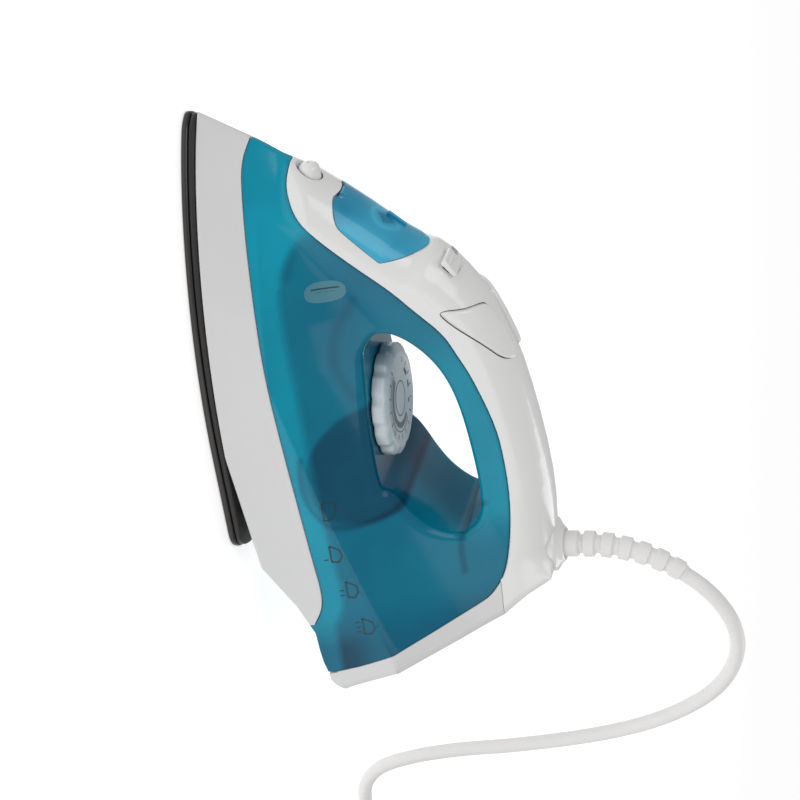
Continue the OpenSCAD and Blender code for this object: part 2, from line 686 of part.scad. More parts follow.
// ---- back ----
cover_xs = sorted(concat([for (x = [-167.5, -165, -158.1, -157.9, -128]) x * kx],
    corners(split_line, -157 * kx, -128 * kx), [for (x = [-166, -163, -160, -150, -144, -138]) x * kx]));
cover_lo = function (x) (x < -158 * kx ? under_z(x) : split_z(x)) + parting / 2;
cover_hi = function (x) max(min(top_z(x), cover_top), cover_lo(x) + 0.4);
module rear_cover() color("gainsboro") {
    inner = [for (x = cover_xs) if (x > -165.5 * kx && x < -130 * kx) x];
    difference() {
        band(cover_xs, cover_lo, cover_hi, 0);
        band(inner, function (x) x < -158 * kx ? under_z(x) + wall : cover_lo(x) - 9,
            function (x) max(cover_lo(x) - 8, min(top_z(x) - drop(x), cover_top - wall)),
            -wall, 6);
        for (p = rear_spots) rear_frame(p) {
            translate([0, 0, -screw_l]) cylinder(d = 3.6, h = screw_l, $fn = fine);
            translate([0, 0, -head_t - 0.2]) cylinder(d = head_d + 0.6, h = 3, $fn = fine);
        }
    }
}
rear_a = atan((133 - 50) * kz / (28 * kx));
screw_l = 12.5;
head_t = 1.2;
head_d = 6;
rear_spots = [[60 * kz, 22 * ky], [60 * kz, -22 * ky]];
// Stands square on the rear face at a height and a side place
module rear_frame(p) {
    translate([-165 * kx + (p[0] - 50 * kz) / tan(rear_a), p[1], p[0]])
        rotate([0, -rear_a, 0]) children();
}
module rear_screws() color("dimgray") {
    for (p = rear_spots) rear_frame(p) {
        translate([0, 0, -screw_l]) cylinder(d = 3, h = screw_l - head_t, $fn = fine);
        translate([0, 0, -head_t - 0.2]) cylinder(d = head_d, h = head_t, $fn = fine);
    }
}
bushing_x = -119 * kx;
bushing_d = 25;
bushing_z = top_z(bushing_x);
module cord_bushing() color("white") {
    translate([bushing_x, 0, bushing_z - 5]) difference() {
        union() {
            cylinder(d = bushing_d, h = 7.5, $fn = fine);
            translate([0, 0, 7.5]) cylinder(d1 = bushing_d, d2 = bushing_d - 8, h = 1.5, $fn = fine);
        }
        translate([0, 0, -1]) cylinder(d = relief_d + 0.4, h = 12, $fn = fine);
    }
}
relief_steps = 6;
relief_pitch = 8;
// Centre line of the strain relief: it leaves upwards and bends back
function relief_at(s) = let (a = max(0, s - 18) * 0.9)
    [bushing_x - max(0, s - 18) * sin(a / 2), 0, bushing_z - 4 + s - max(0, s - 18) * (1 - cos(a / 2))];
function relief_lean(s) = max(0, s - 18) * 0.9;
module strain_relief() color("white") {
    translate([bushing_x, 0, bushing_z - 4]) cylinder(d = relief_d, h = 16, $fn = fine);
    for (i = [0:relief_steps - 1]) {
        s = 14 + i * relief_pitch;
        translate(relief_at(s)) rotate([0, -relief_lean(s), 0]) {
            cylinder(d = cord_d + 1.5 - 0.2 * i, h = relief_pitch + 1, $fn = fine);
            translate([0, 0, 2]) cylinder(d = relief_d - 0.5 * i, h = relief_pitch - 2.2, $fn = fine);
        }
    }
}

// ---- wires and tubes inside ----
wire_sides = 8;
module run(points, d) {
    tube(smooth_points(points, 2), d, wire_sides);
}
function place(p) = [p[0] * kx, p[1], p[2] * kz];
block_x = -152 * kx;
block_z = 60 * kz;
block_size = [12, 18, 14];
wire_d = 2;
wire_z = stat_z + 1.3;
module terminal_block() color("ivory") {
    translate([block_x, -block_size[1] / 2, block_z]) cube(block_size);
}
module inner_wires() color("firebrick") {
    top = block_z + block_size[2];
    for (s = [-1, 0, 1]) {
        run([[bushing_x, 4 * s, bushing_z - 4], place([-124, 4 * s, 114]), place([-139, 4 * s, 88]),
            [block_x + 6, 5 * s, top]], wire_d);
        run([[block_x + 6, 5 * s, block_z], place([-144, 4 * s, 47]), place([-138, 4 * s, 42]),
            place([-121, 4 * s, 41]), place([-117, 4 * s, 30]),
            [-104 * kx, s * element_gap / 2, max(wire_z + 2.2, under_z(-104 * kx) + wall + wire_d)],
            [-98 * kx, s * element_gap / 2, wire_z + 0.4], [-90 * kx, s * element_gap / 2, wire_z],
            [post_x, s * element_gap / 2, wire_z]], wire_d);
    }
}
steam_spot = [14 * kx, -8];
module spray_tube() color("whitesmoke") {
    run([place([11, 6.5, 105]), place([18, 9, 98]), place([26, 11.5, 84]), place([36, 11.8, 72]),
        place([46, 11.8, 61]), place([54, 11.8, 53.5]), place([58, 6, 51]), [nozzle_x - 1.5, 0, nozzle_z]],
        3);
}
module steam_tube() color("whitesmoke") {
    top = split_z(steam_spot[0]) + 6;
    run([place([-3.5, -6.5, 106]), place([4, -8.5, 105]), [steam_spot[0] - 4, steam_spot[1], top + 4],
        [steam_spot[0] - 0.5, steam_spot[1], top + 2], [steam_spot[0], steam_spot[1], top]], 3);
    post(steam_spot[0], steam_spot[1], stat_z - 1, 3, top - stat_z + 1);
}

// ---- mains cord ----
// Route of the free stretch, from the strain relief to the coil
route = [[-134, 0, 190], [-141, 0, 198], [-151, -1, 205], [-163, -2, 210], [-177, -4, 211],
    [-192, -7, 207], [-207, -10, 198], [-221, -14, 184], [-234, -18, 165], [-245, -22, 142],
    [-254, -26, 117], [-262, -30, 90], [-269, -34, 63], [-277, -37, 38], [-289, -42, 18],
    [-304, -46, 7], [-320, -48.5, 4.2], [-335, -49.5, 4.2], [-350, -49.5, 4.2]];
tail = [[-361, 50, 11], [-349, 50, 11.6], [-338, 51, 13.6], [-328, 53, 16.2], [-320, 54.6, 17.6],
    [-314, 55, 18]];
coil_at = [-365, 0];
coil_lift = 0.7;
coil_inner = 25;
coil_outer = 53;
coil_layers = 2;
plug_x = -314;
plug_y = 55;
plug_r = 18;
cord_sides = 10;
function unit(v) = v / norm(v);
function curve_at(p, i, t) = let (
        n = len(p) - 1,
        a = p[max(0, i - 1)], b = p[i], c = p[i + 1], d = p[min(n, i + 2)])
    0.5 * (2 * b + (c - a) * t + (2 * a - 5 * b + 4 * c - d) * t * t
        + (3 * b - a - 3 * c + d) * t * t * t);
function smooth_points(p, k) = concat(
    [for (i = [0:len(p) - 2]) for (j = [0:k - 1]) curve_at(p, i, j / k)], [p[len(p) - 1]]);
// A tube of one ring per point, each ring square to the path
module tube(path, d, sides = cord_sides) {
    n = len(path) - 1;
    ring = [for (i = [0:n]) let (
            t = unit(path[min(n, i + 1)] - path[max(0, i - 1)]),
            u = unit(cross(t, [0.02, 1, 0.01])),
            v = cross(t, u))
        each [for (k = [0:sides - 1]) let (a = 360 * k / sides)
            path[i] + d / 2 * (cos(a) * u + sin(a) * v)]];
    walls = [for (i = [0:n - 1]) for (k = [0:sides - 1]) let (
            a = i * sides + k,
            b = i * sides + (k + 1) % sides)
        each [[a, a + sides, b + sides], [a, b + sides, b]]];
    ends = [[for (k = [0:sides - 1]) k],
        [for (k = [sides - 1:-1:0]) n * sides + k]];
    polyhedron(ring, concat(walls, ends));
}
module cord() color("white") {
    tube(smooth_points(route, 3), cord_d);
    tube(smooth_points(tail, 2), cord_d);
}
module cord_coil() color("white") {
    h = coil_layers * cord_d;
    translate([coil_at[0], coil_at[1], coil_lift]) rotate_extrude($fn = 96)
        translate([coil_inner, 0]) square([coil_outer - coil_inner, h]);
}
module coil_tie() color("black") {
    h = coil_layers * cord_d;
    translate([coil_at[0] - coil_outer - 0.7, -3, 0]) difference() {
        cube([coil_outer - coil_inner + 1.7, 6, h + 1.4]);
        translate([0.6, -1, 0.6]) cube([coil_outer - coil_inner + 0.5, 8, h + 0.2]);
    }
}
neck_l = 16;
plug_l = 30;
module plug_axis(x) {
    translate([x, plug_y, plug_r]) rotate([0, 90, 0]) children();
}
module plug_body() color("white") {
    plug_axis(plug_x) difference() {
        union() {
            rotate_extrude($fn = 64) polygon([[0, 0], [5.5, 0], [8, neck_l], [13, neck_l + 5],
                [plug_r, neck_l + 16], [plug_r, neck_l + plug_l], [0, neck_l + plug_l]]);
        }
        for (s = [-1, 1]) translate([s * 9.5, 0, neck_l + plug_l - 8])
            cylinder(d = pin_d - 1, h = 10, $fn = fine);
        for (s = [-1, 1]) translate([0, s * plug_r, neck_l + plug_l - 9]) cube([6, 5, 20], center = true);
    }
}
module plug_pins() color("silver") {
    for (s = [-1, 1]) plug_axis(plug_x + neck_l + plug_l - 8) translate([s * 9.5, 0, 0]) {
        cylinder(d = pin_d - 1, h = 9, $fn = fine);
        translate([0, 0, 8.2]) cylinder(d = pin_d, h = 27 - 8.2 - pin_d / 2, $fn = fine);
        translate([0, 0, 27 - pin_d / 2]) sphere(d = pin_d, $fn = fine);
    }
}

soleplate();
sole_seal();
steam_chamber();
heating_element();
element_terminals();
chamber_cover();
chamber_screws();
thermostat();
thermostat_bracket();
thermal_fuse();
heat_shield();
skirt();
tank_base();
tank_screws();
water_tank();
tail_housing();
drip_seal();
handle_liner();
handle_shell();
rear_cover();
rear_screws();
fill_funnel();
fill_door();
fill_door_pin();
spray_nozzle();
nozzle_tip();
spray_tube();
steam_tube();
steam_selector();
valve_rod();
temperature_dial();
dial_shaft();
spray_button();
spray_pump();
spray_spring();
steam_button();
steam_pump();
steam_spring();
terminal_block();
inner_wires();
cord_bushing();
strain_relief();
cord();
cord_coil();
coil_tie();
plug_body();
plug_pins();
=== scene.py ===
import math

import bmesh
import bpy
import numpy as np
from bpy.props import FloatProperty, FloatVectorProperty, IntProperty, PointerProperty
from mathutils import Matrix, Vector


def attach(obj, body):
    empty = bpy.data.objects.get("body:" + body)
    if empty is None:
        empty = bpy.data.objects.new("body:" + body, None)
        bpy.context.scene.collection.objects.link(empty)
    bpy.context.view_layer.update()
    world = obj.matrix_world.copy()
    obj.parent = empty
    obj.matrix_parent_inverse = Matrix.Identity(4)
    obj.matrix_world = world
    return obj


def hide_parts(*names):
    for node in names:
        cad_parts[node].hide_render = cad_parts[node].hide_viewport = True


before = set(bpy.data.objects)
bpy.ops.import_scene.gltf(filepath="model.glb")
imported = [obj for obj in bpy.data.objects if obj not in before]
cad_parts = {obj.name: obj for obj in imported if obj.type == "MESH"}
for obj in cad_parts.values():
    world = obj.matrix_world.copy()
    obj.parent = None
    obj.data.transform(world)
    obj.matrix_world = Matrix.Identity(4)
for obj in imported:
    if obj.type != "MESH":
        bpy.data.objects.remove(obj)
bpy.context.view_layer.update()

bl_info = {
    "name": "Steam Iron",
    "version": (1, 0, 0),
    "blender": (4, 5, 0),
    "location": "View3D > Sidebar > Iron",
    "description": "Builds the shells, dial, keys and cord of a steam iron round its packed frame",
    "category": "Object",
}

MM = 0.001


# ---- the iron's outlines, in millimetres, as [x, z] seen from its side ----
def rounded_line(points, rounds=2):
    """Corner cutting: each corner gives way to two points at a quarter and three quarters
    of its edges, and the two ends stay."""
    line = np.array(points, float)
    for _ in range(rounds):
        a, b = line[:-1], line[1:]
        cut = np.stack([0.75 * a + 0.25 * b, 0.25 * a + 0.75 * b], 1).reshape(-1, 2)
        line = np.vstack([line[:1], cut, line[-1:]])
    return line


def rounded_loop(points, rounds=3):
    """Corner cutting round a closed outline, ending where it starts."""
    line = np.array(points, float)
    for _ in range(rounds):
        after = np.roll(line, -1, 0)
        line = np.stack([0.75 * line + 0.25 * after, 0.25 * line + 0.75 * after], 1).reshape(-1, 2)
    return np.vstack([line, line[:1]])


TOP = rounded_line([[100, 6], [88, 27], [77, 43], [59, 67], [38, 91], [34, 103], [17, 116],
    [3, 123], [-18, 129.5], [-45, 134], [-75, 137], [-100, 137], [-137, 133], [-165, 50],
    [-168, 42]], 1)
SEAM = rounded_line([[88, 27], [80, 24], [67, 24.5], [29, 27], [-5, 29], [-43, 33], [-95, 36.5],
    [-112, 38], [-122, 37], [-131, 32]])
SPLIT = rounded_line([[77, 43], [70, 41.5], [62, 44], [55, 48], [46, 56], [34, 69], [23, 82],
    [13, 91], [2, 102], [-9, 107], [-20, 112], [-45, 119.5], [-65, 121], [-82, 121],
    [-101, 119], [-116, 116], [-124, 113], [-131, 108], [-134, 103], [-141, 85], [-147, 67],
    [-153, 52], [-157, 38]])
ARCH = rounded_line([[2, 75], [2, 78], [-1, 84], [-7, 91], [-15, 97], [-25, 101.5], [-38, 104.5],
    [-55, 106.5], [-75, 108], [-88, 107.5], [-95, 104.5], [-99, 99]], 3)
DECK = rounded_line([[2, 75], [2, 72], [-3, 68], [-9, 66], [-69, 66], [-71, 71], [-77, 75],
    [-85, 79], [-93, 85], [-98, 93], [-99, 99]], 3)
UNDER = rounded_line([[100, 5.8], [-90, 5.8], [-131, 31], [-150, 32], [-158, 34],
    [-163, 34.5], [-168, 41]], 1)
DOOR = rounded_line([[61, 61], [53, 62.5], [49, 66], [35, 80], [34, 82]], 2)
SHOULDER = np.array([[100, 30], [-10, 30], [-150, 66.4]])
NECK = np.array([[77, 43], [55, 50], [34, 69], [12, 91], [-9, 106], [-30, 116], [-60, 121],
    [-168, 124]])
HOLLOW = np.array([[0, 2], [-60, 2.4], [-150, 1.1]])
CREST_LINE = TOP[TOP[:, 0] > -142]
REAR_LINE = TOP[TOP[:, 0] < -120]
HOLE = np.vstack([ARCH, DECK[::-1]])
HOLE_FRONT, HOLE_REAR = 2.0, -99.0
PARTING = 0.3
COVER_TOP, COVER_NOSE = 112.0, -124.3
SKIRT_LOW, SKIRT_TAIL = 5.8, -131.2
NOSE_X, NOSE_Z, NOSE_LEAN, NOSE_LENGTH = 100, 6, 0.56, 145
HULL_HALF, HULL_POWER = 48.5, 0.8
HANDLE_HALF = 19
CREST_R, REAR_R = 16, 4.5


def height(x, line):
    """Height of an outline at each x, by straight lines between its points."""
    order = np.argsort(line[:, 0])
    return np.interp(x, line[order, 0], line[order, 1])


def ease(a, b, v):
    """Smooth step from 0 at a to 1 at b."""
    t = np.clip((v - a) / (b - a), 0, 1)
    return t * t * (3 - 2 * t)


def gap_to(x, z, line):
    """Distance in the side view from each point to the nearest segment of a line."""
    best = np.full(np.shape(x), 1e9)
    for (ax, az), (bx, bz) in zip(line[:-1], line[1:]):
        vx, vz = bx - ax, bz - az
        t = np.clip(((x - ax) * vx + (z - az) * vz) / max(vx * vx + vz * vz, 1e-9), 0, 1)
        best = np.minimum(best, np.hypot(x - ax - t * vx, z - az - t * vz))
    return best


def rolled(gap, radius):
    """How far a quarter-round edge of that radius has fallen away at a gap from the edge."""
    s = radius - np.clip(gap, 0, radius)
    return radius - np.sqrt(np.maximum(radius * radius - s * s, 0))


def body_half(x, z):
    """Half-width of the whole iron at a side-view point: an ogive from the leaning nose, that
    comes in to the handle's width between the shoulder and the neck, and is rounded by a
    quarter circle near the top outline; behind the cord the top edge has a small radius."""
    x, z = np.broadcast_arrays(np.asarray(x, float), np.asarray(z, float))
    u = np.clip((NOSE_X - NOSE_LEAN * (z - NOSE_Z) - x) / NOSE_LENGTH, 0, 1)
    hull = HULL_HALF * (1 - (1 - u) ** 2) ** HULL_POWER
    low = height(x, SHOULDER)
    high = np.maximum(height(x, NECK), low + 1)
    t = np.clip((z - low) / (high - low), 0, 1)
    leaned = np.where(hull < HANDLE_HALF, hull,
        HANDLE_HALF + (hull - HANDLE_HALF) * (1 - t) ** height(x, HOLLOW))
    side = leaned + (np.maximum(leaned, HANDLE_HALF) - leaned) * ease(38, 52, z)
    s = np.clip(gap_to(x, z, CREST_LINE) / CREST_R, 0, 1)
    crest = np.sqrt(np.maximum(1 - (1 - s) ** 2, 0))
    on = ease(27, 50, z) * ease(-126, -112, x)
    rear = (1 - ease(-126, -112, x)) * rolled(gap_to(x, z, REAR_LINE), REAR_R)
    return np.maximum(side * (1 + (crest - 1) * on) - rear, 0)


def spaced(a, b, count, crowd=1.0):
    """count stations from a to b, crowded at both ends by a cosine."""
    t = np.linspace(0, 1, count)
    t = (1 - crowd) * t + crowd * (1 - np.cos(np.pi * t)) / 2
    return a + (b - a) * t


# ---- mesh helpers ----
def strip(a, b):
    """Quads between two rows of vertex numbers."""
    return np.stack([a[:-1], a[1:], b[1:], b[:-1]], -1)


def grid_quads(index):
    """Quads of a grid of vertex numbers."""
    return np.stack([index[:-1, :-1], index[:-1, 1:], index[1:, 1:], index[1:, :-1]], -1)


def piece(name, points, quads, material, body, nodes=(), sharp=38):
    """A closed mesh in metres from points in millimetres: doubles merged, normals outward."""
    mesh = bpy.data.meshes.new(name)
    mesh.from_pydata((np.asarray(points, float).reshape(-1, 3) * MM).tolist(), [],
        np.asarray(quads).reshape(-1, 4).tolist())
    bm = bmesh.new()
    bm.from_mesh(mesh)
    bmesh.ops.delete(bm, geom=[v for v in bm.verts if not v.link_faces], context="VERTS")
    bmesh.ops.remove_doubles(bm, verts=bm.verts, dist=2e-6)
    bmesh.ops.dissolve_degenerate(bm, edges=bm.edges, dist=1e-6)
    bmesh.ops.recalc_face_normals(bm, faces=bm.faces)
    bm.to_mesh(mesh)
    bm.free()
    thing = bpy.data.objects.new(name, mesh)
    bpy.context.scene.collection.objects.link(thing)
    finish_piece(thing, material, body, nodes, sharp)
    return thing


def finish_piece(thing, material, body, nodes, sharp):
    """Shades, colours and hangs a finished piece on its body."""
    thing.data.materials.clear()
    if material:
        thing.data.materials.append(material)
    smooth(thing, sharp)
    if body:
        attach(thing, body)
    if nodes:
        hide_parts(*nodes)


def smooth(thing, sharp):
    """Smooth shading, with edges over an angle in degrees left sharp."""
    thing.data.shade_smooth()
    thing.data.set_sharp_from_angle(angle=math.radians(sharp))


def carve(thing, cutters, sharp=38):
    """Cuts the cutters out of a piece exactly and keeps its material."""
    for cutter in cutters:
        cut = thing.modifiers.new(cutter.name, "BOOLEAN")
        cut.operation = "DIFFERENCE"
        cut.solver = "EXACT"
        cut.object = cutter
    graph = bpy.context.evaluated_depsgraph_get()
    mesh = bpy.data.meshes.new_from_object(thing.evaluated_get(graph))
    old = thing.data
    thing.modifiers.clear()
    thing.data = mesh
    bpy.data.meshes.remove(old)
    for cutter in cutters:
        bpy.data.objects.remove(cutter)
    smooth(thing, sharp)


def paint(thing, name, value):
    """A point attribute worked out from the mesh's own places, in millimetres."""
    mesh = thing.data
    place = np.zeros(len(mesh.vertices) * 3, np.float32)
    mesh.vertices.foreach_get("co", place)
    x, y, z = (place.reshape(-1, 3) / MM).T
    layer = mesh.attributes.new(name, "FLOAT", "POINT")
    layer.data.foreach_set("value", np.asarray(value(x, y, z), np.float32))


def two_sided(x, z, half, hole=None):
    """A closed body from a grid of side-view points: the near side at +half, the far side at
    -half, and flat caps along all four edges; hole = (first, last station, low, high row)
    leaves a window with its own inner wall."""
    n, m = z.shape
    xx = np.broadcast_to(x[:, None], z.shape)
    near = np.stack([xx, half, z], -1).reshape(-1, 3)
    far = near * [1, -1, 1]
    a = np.arange(n * m).reshape(n, m)
    b = a + n * m
    keep = np.ones((n - 1, m - 1), bool)
    caps = [strip(a[:, 0], b[:, 0]), strip(a[:, -1], b[:, -1]), strip(a[0], b[0]), strip(a[-1], b[-1])]
    if hole:
        i0, i1, j0, j1 = hole
        keep[i0:i1, j0:j1] = False
        caps += [strip(a[i0:i1 + 1, j0], b[i0:i1 + 1, j0]), strip(a[i0:i1 + 1, j1], b[i0:i1 + 1, j1]),
            strip(a[i0, j0:j1 + 1], b[i0, j0:j1 + 1]), strip(a[i1, j0:j1 + 1], b[i1, j0:j1 + 1])]
    quads = np.vstack([grid_quads(a)[keep], grid_quads(b)[keep]] + [c.reshape(-1, 4) for c in caps])
    return np.vstack([near, far]), quads


def lathe(radius, along, origin, axis, turns=96, flutes=None):
    """A profile of radius against distance along an axis, turned once round; the profile's
    first and last radius are 0, so the ends are poles. flutes(radius, angle) gives the radius
    to use at each angle."""
    radius, along = np.asarray(radius, float), np.asarray(along, float)
    angle = np.linspace(0, 2 * np.pi, turns, endpoint=False)
    axis = np.asarray(axis, float) / np.linalg.norm(axis)
    side = np.cross(axis, [0, 1, 0]) if abs(axis[1]) < 0.9 else np.array([1.0, 0, 0])
    side /= np.linalg.norm(side)
    other = np.cross(axis, side)
    r = np.repeat(radius[:, None], turns, 1)
    if flutes is not None:
        r = flutes(r, angle[None, :])
    points = (np.asarray(origin, float) + along[:, None, None] * axis
        + r[..., None] * (np.cos(angle)[None, :, None] * side + np.sin(angle)[None, :, None] * other))
    index = np.arange(len(radius) * turns).reshape(len(radius), turns)
    index = np.hstack([index, index[:, :1]])
    return points.reshape(-1, 3), grid_quads(index).reshape(-1, 4)


def tube(path, radius, turns=16):
    """A round profile carried along a path: the frame turns as little as it can from one point
    to the next, and both ends close in a pole."""
    path = np.asarray(path, float)
    radius = np.broadcast_to(np.asarray(radius, float), len(path)).copy()
    way = np.gradient(path, axis=0)
    way /= np.linalg.norm(way, axis=1)[:, None]
    sides = [np.cross(way[0], [0.02, 1, 0.01])]
    for t in way[1:]:
        s = sides[-1] - t * np.dot(sides[-1], t)
        sides.append(s / np.linalg.norm(s))
    side = np.array(sides)
    side /= np.linalg.norm(side, axis=1)[:, None]
    other = np.cross(way, side)
    path = np.vstack([path[:1], path, path[-1:]])
    radius = np.hstack([0, radius, 0])
    side, other = (np.vstack([v[:1], v, v[-1:]]) for v in (side, other))
    angle = np.linspace(0, 2 * np.pi, turns, endpoint=False)
    ring = (np.cos(angle)[None, :, None] * side[:, None]
        + np.sin(angle)[None, :, None] * other[:, None])
    points = path[:, None] + radius[:, None, None] * ring
    index = np.arange(len(path) * turns).reshape(len(path), turns)
    index = np.hstack([index, index[:, :1]])
    return points.reshape(-1, 3), grid_quads(index).reshape(-1, 4)


def thick_sheet(points, wall):
    """A closed plate from a grid of points: a second grid lies a wall below it along the
    grid's own normals, and the four edges are joined."""
    du, dv = np.gradient(points, axis=0), np.gradient(points, axis=1)
    normal = np.cross(du, dv)
    normal /= np.maximum(np.linalg.norm(normal, axis=2), 1e-9)[..., None]
    under = points + normal * wall
    n, m = points.shape[:2]
    a = np.arange(n * m).reshape(n, m)
    b = a + n * m
    quads = np.vstack([q.reshape(-1, 4) for q in (grid_quads(a), grid_quads(b), strip(a[0], b[0]),
        strip(a[-1], b[-1]), strip(a[:, 0], b[:, 0]), strip(a[:, -1], b[:, -1]))])
    return np.vstack([points.reshape(-1, 3), under.reshape(-1, 3)]), quads


def soft_box(low, high, radius, steps=6):
    """A box with rounded edges: each point of a unit sphere's grid, pushed out to the box's
    shrunken corners, so that it is the sum of a small ball and an inner box."""
    low, high = np.asarray(low, float), np.asarray(high, float)
    lat = np.hstack([np.linspace(-90, 0, steps), np.linspace(0, 90, steps)])
    lon = np.hstack([np.linspace(a, a + 90, steps) for a in (0, 90, 180, 270)])
    lat, lon = np.radians(lat)[:, None], np.radians(lon)[None, :]
    ball = np.stack([np.cos(lat) * np.cos(lon), np.cos(lat) * np.sin(lon),
        np.sin(lat) * np.ones_like(lon)], -1)
    mid = np.radians(lon * 0 + np.repeat([45, 135, 225, 315], steps)[None, :])
    corner = np.stack([np.sign(np.cos(mid)) * np.ones_like(lat),
        np.sign(np.sin(mid)) * np.ones_like(lat),
        np.repeat([-1, 1], steps)[:, None] * np.ones_like(lon)], -1)
    core = (high - low) / 2 - radius
    points = (low + high) / 2 + corner * core + ball * radius
    index = np.arange(points.shape[0] * points.shape[1]).reshape(points.shape[:2])
    index = np.hstack([index, index[:, :1]])
    poles = [np.stack([index[k, :-1].reshape(-1, steps)[:, 0]], 0) for k in (0, -1)]
    return points.reshape(-1, 3), np.vstack([grid_quads(index).reshape(-1, 4)] + poles)


def turned(points, origin, degrees, axis="Y"):
    """Points turned about an axis through the origin point given, then moved to it."""
    matrix = np.array(Matrix.Rotation(math.radians(degrees), 3, axis))
    return np.asarray(points) @ matrix.T + np.asarray(origin, float)


# ---- materials ----
def linear(rgb):
    """Screen colour from 0 to 255 as linear light."""
    c = np.asarray(rgb, float) / 255
    return (*np.where(c <= 0.04045, c / 12.92, ((c + 0.055) / 1.055) ** 2.4).tolist(), 1.0)


def new_group(name, inputs, outputs):
    """A shader node group with named sockets, given as (name, kind, default)."""
    group = bpy.data.node_groups.new(name, "ShaderNodeTree")
    for label, kind, value in inputs:
        socket = group.interface.new_socket(name=label, in_out="INPUT", socket_type="NodeSocket" + kind)
        socket.default_value = value
    for label, kind in outputs:
        group.interface.new_socket(name=label, in_out="OUTPUT", socket_type="NodeSocket" + kind)
    return group, group.nodes.new("NodeGroupInput"), group.nodes.new("NodeGroupOutput")


def noise(tree, vector, scale, detail=3.0, rough=0.5):
    """A noise texture node on a vector socket; scale is a number or a socket."""
    made = tree.nodes.new("ShaderNodeTexNoise")
    made.inputs["Detail"].default_value = detail
    made.inputs["Roughness"].default_value = rough
    tree.links.new(vector, made.inputs["Vector"])
    if isinstance(scale, (int, float)):
        made.inputs["Scale"].default_value = scale
    else:
        tree.links.new(scale, made.inputs["Scale"])
    return made.outputs["Fac"]


def maths(tree, operation, a, b):
    """A Math node of two values, each a number or a socket."""
    made = tree.nodes.new("ShaderNodeMath")
    made.operation = operation
    for socket, value in zip(made.inputs, (a, b)):
        if isinstance(value, (int, float)):
            socket.default_value = value
        else:
            tree.links.new(value, socket)
    return made.outputs[0]


def blended(tree, factor, a, b, how="MIX"):
    """A colour Mix node; a and b are colours or sockets."""
    made = tree.nodes.new("ShaderNodeMix")
    made.data_type = "RGBA"
    made.blend_type = how
    for socket, value in ((made.inputs["Factor"], factor), (made.inputs["A"], a),
            (made.inputs["B"], b)):
        pick = [s for s in made.inputs if s.name == socket.name and s.enabled and
            (s.type == "RGBA" or socket.name == "Factor")][0]
        if hasattr(value, "links"):
            tree.links.new(value, pick)
        else:
            pick.default_value = value
    return [s for s in made.outputs if s.enabled][0]


def object_place(tree):
    """A socket of the place on the object itself."""
    return tree.nodes.new("ShaderNodeTexCoord").outputs["Object"]


def painted(tree, name):
    """A socket of a painted point attribute."""
    made = tree.nodes.new("ShaderNodeAttribute")
    made.attribute_name = name
    return made.outputs["Fac"]


def toned(group, inn, tone):
    """The group's own colour times a grey tone."""
    grey = group.nodes.new("ShaderNodeCombineColor")
    for socket in grey.inputs[:3]:
        group.links.new(tone, socket)
    return blended(group, 1.0, inn.outputs["Colour"], grey.outputs[0], "MULTIPLY")


def give(group, out, colour, gloss, relief, strength, distance):
    """Links a group's three outputs: colour, gloss, and a bump of relief, distance metres high."""
    bump = group.nodes.new("ShaderNodeBump")
    bump.inputs["Distance"].default_value = distance
    group.links.new(relief, bump.inputs["Height"])
    group.links.new(strength, bump.inputs["Strength"])
    for socket, key in ((colour, "Colour"), (gloss, "Roughness"), (bump.outputs[0], "Normal")):
        group.links.new(socket, out.inputs[key])
    return group


def moulded_skin():
    """Moulded plastic: broad cloudy changes of tone and gloss, and a very fine skin."""
    group, inn, out = new_group("Moulded skin",
        [("Colour", "Color", (0.8, 0.8, 0.8, 1)), ("Mottle", "Float", 0.04), ("Cloud scale", "Float", 22.0),
            ("Gloss", "Float", 0.25), ("Gloss change", "Float", 0.06), ("Skin scale", "Float", 1400.0),
            ("Skin depth", "Float", 0.06)],
        [("Colour", "Color"), ("Roughness", "Float"), ("Normal", "Vector")])
    place = object_place(group)
    cloud = maths(group, "SUBTRACT", noise(group, place, inn.outputs["Cloud scale"]), 0.5)
    tone = maths(group, "ADD", maths(group, "MULTIPLY", cloud, inn.outputs["Mottle"]), 1.0)
    gloss = maths(group, "ADD", inn.outputs["Gloss"],
        maths(group, "MULTIPLY", cloud, inn.outputs["Gloss change"]))
    grain = noise(group, place, inn.outputs["Skin scale"], 2.0)
    return give(group, out, toned(group, inn, tone), gloss, grain, inn.outputs["Skin depth"], 0.00004)


def drawn_metal():
    """Metal with fine lines along one way: noise squeezed along X breaks up tone and gloss."""
    group, inn, out = new_group("Drawn metal",
        [("Colour", "Color", (0.6, 0.6, 0.6, 1)), ("Line scale", "Float", 900.0), ("Gloss", "Float", 0.3),
            ("Line depth", "Float", 0.15), ("Stain", "Float", 0.15)],
        [("Colour", "Color"), ("Roughness", "Float"), ("Normal", "Vector")])
    place = object_place(group)
    squeeze = group.nodes.new("ShaderNodeMapping")
    squeeze.inputs["Scale"].default_value = (0.04, 1, 1)
    group.links.new(place, squeeze.inputs["Vector"])
    lines = noise(group, squeeze.outputs[0], inn.outputs["Line scale"], 2.0)
    cloud = noise(group, place, 30.0)
    tone = maths(group, "SUBTRACT", 1.0, maths(group, "MULTIPLY", cloud, inn.outputs["Stain"]))
    gloss = maths(group, "ADD", inn.outputs["Gloss"], maths(group, "MULTIPLY", lines, 0.12))
    return give(group, out, toned(group, inn, tone), gloss, lines, inn.outputs["Line depth"], 0.00003)


GROUPS = {}


def shared(name, maker):
    """A shared node group, built the first time it is asked for."""
    if name not in GROUPS:
        GROUPS[name] = maker()
    return GROUPS[name]


